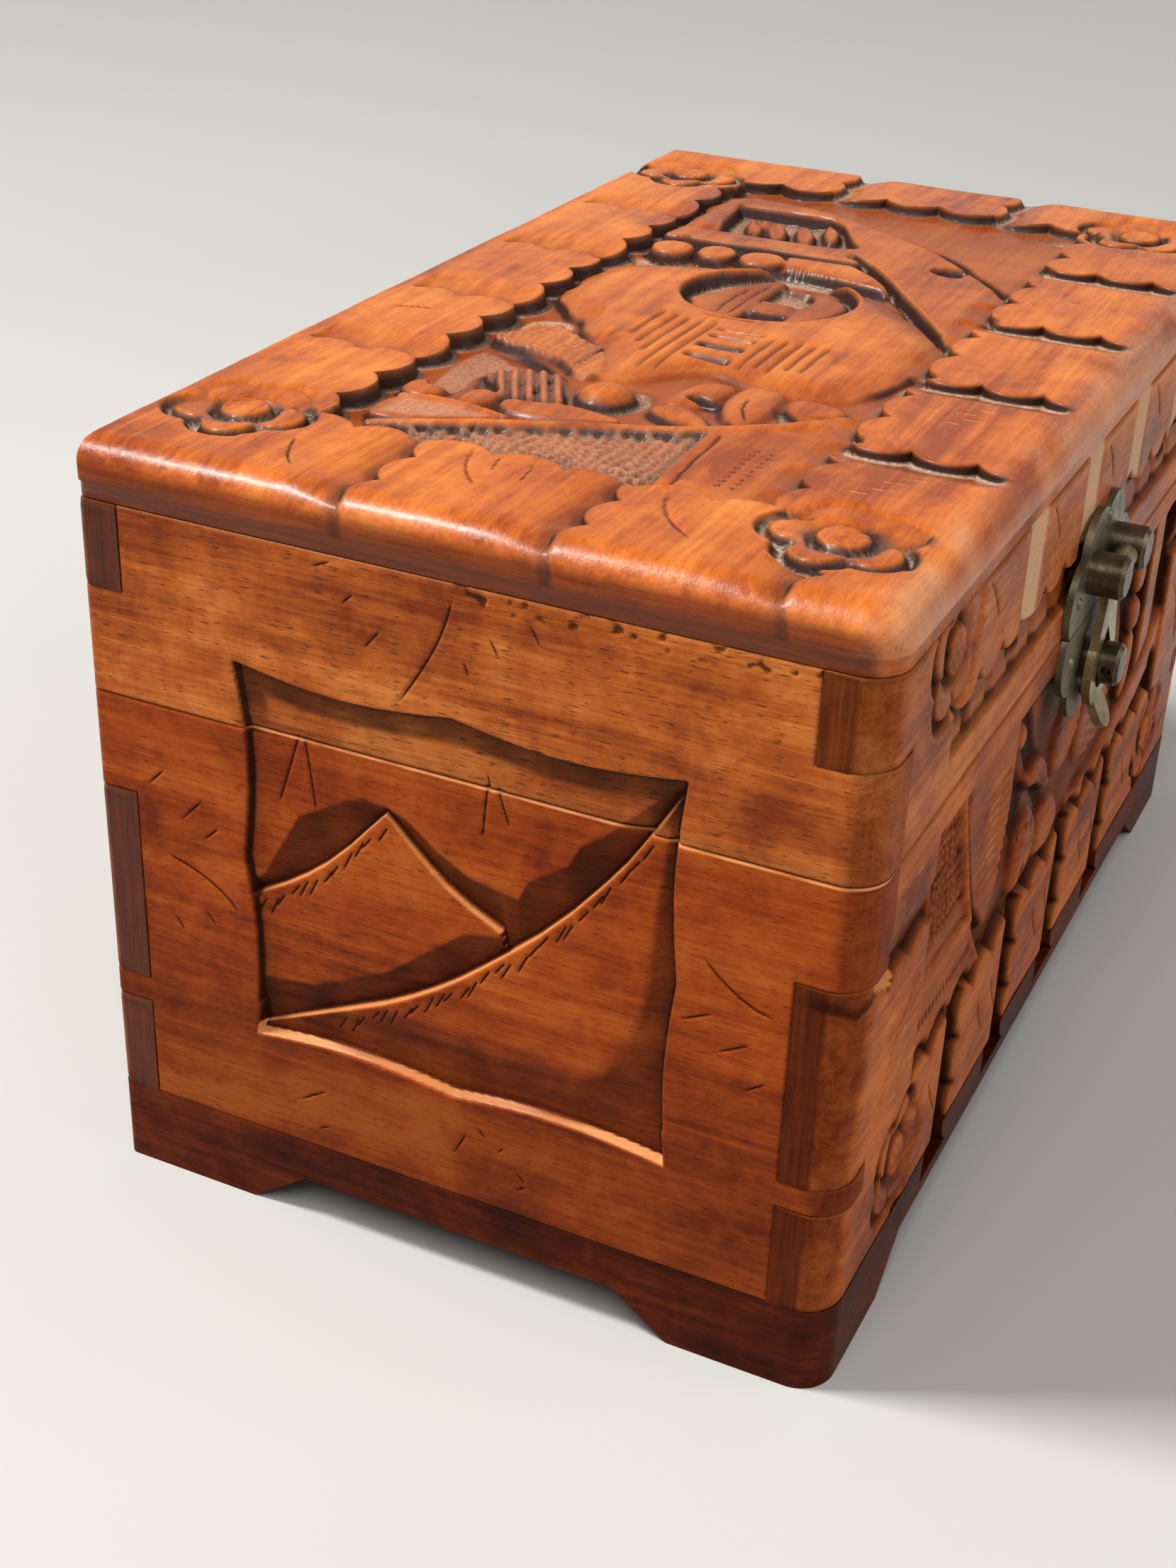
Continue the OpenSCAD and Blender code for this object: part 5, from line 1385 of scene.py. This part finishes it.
TOP_WOOD = wood("lid_top_wood", ((140, 58, 14), (188, 94, 28), (214, 122, 46)),
                gloss=0.24, depth_shade=0.8, pitted=0.18, coat=0.09, rings=1, sheen=0.22)
LID_FRONT_WOOD = wood("lid_front_wood", ((122, 52, 16), (172, 88, 34), (206, 122, 60)),
                      depth_shade=0.85, coat=0.0, sheen=0.06)
LID_END_WOOD = wood("lid_end_wood", ((130, 52, 13), (186, 94, 32), (220, 132, 62)),
                    axes=(1,), gloss=0.42, depth_shade=0.2, pitted=0.7, sheen=0.08)
FRONT_WOOD = wood("body_front_wood", ((104, 38, 9), (166, 80, 28), (198, 108, 46)),
                  depth_shade=0.9, coat=0.0, sheen=0.05)
END_WOOD = wood("body_end_wood", ((112, 39, 7), (160, 67, 17), (188, 93, 31)),
                axes=(1,), gloss=0.4, depth_shade=0.05, pitted=0.5, coat=0.03, sheen=0.06)
BACK_WOOD = wood("back_wood", ((104, 42, 14), (146, 68, 24), (176, 94, 38)), gloss=0.4)
BASE_WOOD = wood("base_wood", ((46, 13, 3), (78, 25, 6), (112, 44, 14)),
                 axes=(0, 1), gloss=0.36, depth_shade=0.3, pitted=0.5, coat=0.0, rings=1, sheen=0.05)
PLATE_BRASS = metal("plate_brass", (74, 69, 54), (128, 121, 96))
POST_BRASS = metal("post_brass", (50, 40, 29), (96, 82, 62), gloss=0.26)
HASP_BRASS = metal("hasp_brass", (104, 88, 60), (168, 148, 106), gloss=0.28, tarnish=0.35)
HINGE_BRASS = metal("hinge_brass", (104, 90, 62), (160, 142, 98), gloss=0.34)


# Pieces

def dress(piece, material, body, slot, *nodes):
    """Gives a board its wood and says which body it rides on and which CAD nodes it replaces."""
    piece.data.materials.append(material)
    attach(piece, body)
    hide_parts(*nodes)


# Grid steps in mm. The left end is the finest, because the photo shows it from nearby.
TOP_STEP = 0.42
LID_FRONT_STEP = 0.42
FRONT_STEP = 0.44
PLAIN_STEP = 1.2
END_STEPS = {"left": (-1, 0.225), "right": (1, 0.4)}

dress(top_slab("carved_lid_top", draw_top, TOP_STEP), TOP_WOOD, "lid", "lid_wood", "top_board")
dress(long_board("carved_lid_front", -1, SEAM_Z, TOP_Z, LID_FINGERS, FRONT_T, draw_lid_front, LID_FRONT_STEP),
      LID_FRONT_WOOD, "lid", "lid_wood", "lid_front_board")
dress(long_board("lid_back", 1, SEAM_Z, TOP_Z, LID_FINGERS, BACK_T, draw_plain, PLAIN_STEP),
      BACK_WOOD, "lid", "lid_wood", "lid_back_board")
dress(long_board("carved_body_front", -1, WALL_Z, SEAM_Z, BODY_FINGERS, FRONT_T, draw_front, FRONT_STEP),
      FRONT_WOOD, "box", "body_wood", "front_board")
dress(long_board("body_back", 1, WALL_Z, SEAM_Z, BODY_FINGERS, BACK_T, draw_plain, PLAIN_STEP),
      BACK_WOOD, "box", "body_wood", "back_board")
for end_name, (end_side, step) in END_STEPS.items():
    dress(end_board(f"carved_{end_name}_end", end_side, WALL_Z, SEAM_Z, BODY_FINGERS, draw_body_end, step),
          END_WOOD, "box", "body_wood", f"{end_name}_end_board")
    dress(end_board(f"carved_lid_{end_name}_end", end_side, SEAM_Z, TOP_Z, LID_FINGERS, draw_lid_end, step),
          LID_END_WOOD, "lid", "lid_wood", f"lid_{end_name}_end")

# The base, the feet, the clasp and the hinges stay the CAD's own objects. The first of these words that a
# node's name holds gives its finish.
CAD_FINISH = {
    "base_board": BASE_WOOD, "foot": BASE_WOOD, "plate": PLATE_BRASS, "hasp_post": POST_BRASS,
    "lock_post": POST_BRASS, "hasp_pin": POST_BRASS, "hasp": HASP_BRASS, "nails": PLATE_BRASS,
    "leaf": HINGE_BRASS, "hinge": HINGE_BRASS}
for node_name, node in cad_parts.items():
    for key, finish in CAD_FINISH.items():
        if key in node_name:
            node.data.materials.clear()
            node.data.materials.append(finish)
            break


# Floor, light and camera

def seen_rays(tree):
    """1 for the rays that show a surface to the camera, also by way of gloss or glass."""
    rays = tree.nodes.new("ShaderNodeLightPath").outputs
    seen = rays["Is Camera Ray"]
    for kind in ("Is Glossy Ray", "Is Transmission Ray"):
        most = tree.nodes.new("ShaderNodeMath")
        most.operation = "MAXIMUM"
        tree.links.new(seen, most.inputs[0])
        tree.links.new(rays[kind], most.inputs[1])
        seen = most.outputs[0]
    return seen


def floor_finish(glow):
    """A pale floor that glows a little far from the object, where it meets the world's own tone."""
    look = Look("floor")
    tone = look.ramp(look.noise(even(0.004), 2.0), [(0.3, shade(FLOOR_TONE, 0.97)), (0.7, FLOOR_TONE)])
    place = look.add("ShaderNodeTexCoord", {}).outputs["Object"]
    away = look.add("ShaderNodeVectorMath", {0: place}, operation="LENGTH").outputs["Value"]
    far = look.math("MULTIPLY", look.span(away, 0.5, 2.4), glow)
    return look.finish(Base_Color=tone, Roughness=0.8, Emission_Color=FLOOR_GLOW,
                       Emission_Strength=look.math("MULTIPLY", far, seen_rays(look.tree)))


def add_floor(half):
    """A square floor that reaches half metres each way."""
    mesh = bpy.data.meshes.new("floor")
    corners = [(-half, -half, 0), (half, -half, 0), (half, half, 0), (-half, half, 0)]
    mesh.from_pydata(corners, [], [(0, 1, 2, 3)])
    mesh.materials.append(floor_finish(glow=0.31))
    floor = bpy.data.objects.new("floor", mesh)
    bpy.context.scene.collection.objects.link(floor)


def add_light(name, place, target, size, power):
    """A soft rectangular light that points at a target."""
    lamp = bpy.data.lights.new(name, "AREA")
    lamp.shape = "RECTANGLE"
    lamp.size, lamp.size_y = size
    lamp.energy = power
    light = bpy.data.objects.new(name, lamp)
    light.location = place
    light.rotation_euler = (Vector(target) - Vector(place)).to_track_quat("-Z", "Y").to_euler()
    bpy.context.scene.collection.objects.link(light)


# The photograph's camera, solved from the box's own straight edges: where it stands in metres, its focal
# length for a 36 mm sensor, and its directions to the right, up and away from what it looks at.
CAMERA_PLACE = (-0.35319, -0.13184, 0.24331)
CAMERA_LENS = 50.93
CAMERA_AXES = ((0.43632, -0.89921, 0.03241), (0.42312, 0.23683, 0.87458), (-0.79410, -0.36788, 0.48380))


def add_camera():
    """The camera of the photograph."""
    lens = bpy.data.cameras.new("camera")
    lens.lens = CAMERA_LENS
    lens.sensor_width = 36
    lens.clip_start, lens.clip_end = 0.01, 20
    camera = bpy.data.objects.new("camera", lens)
    turn = Matrix(CAMERA_AXES).transposed().to_4x4()
    turn.translation = Vector(CAMERA_PLACE)
    camera.matrix_world = turn
    bpy.context.scene.collection.objects.link(camera)
    bpy.context.scene.camera = camera


def add_world(light, tone):
    """Even light from all round, and the tone that the scene shows behind the floor."""
    world = bpy.data.worlds.new("studio")
    world.use_nodes = True
    tree = world.node_tree
    strength = tree.nodes.new("ShaderNodeMapRange")
    tree.links.new(seen_rays(tree), strength.inputs["Value"])
    strength.inputs["To Min"].default_value = light
    strength.inputs["To Max"].default_value = tone
    background = tree.nodes["Background"]
    background.inputs["Color"].default_value = WORLD_TINT
    tree.links.new(strength.outputs["Result"], background.inputs["Strength"])
    bpy.context.scene.world = world


add_floor(half=6.0)
add_camera()
add_light("key", place=(-0.35, 0.72, 1.35), target=(0, 0, 0.1), size=(0.28, 0.28), power=27)
add_light("fill", place=(-0.95, -0.25, 1.45), target=(0, 0, 0.08), size=(0.9, 0.9), power=11.5)
add_light("front", place=(0.3, -1.5, 0.7), target=(0, 0, 0.08), size=(1.2, 1.0), power=9.2)
add_world(light=0.27, tone=0.45)
bpy.context.scene.view_settings.view_transform = "Standard"
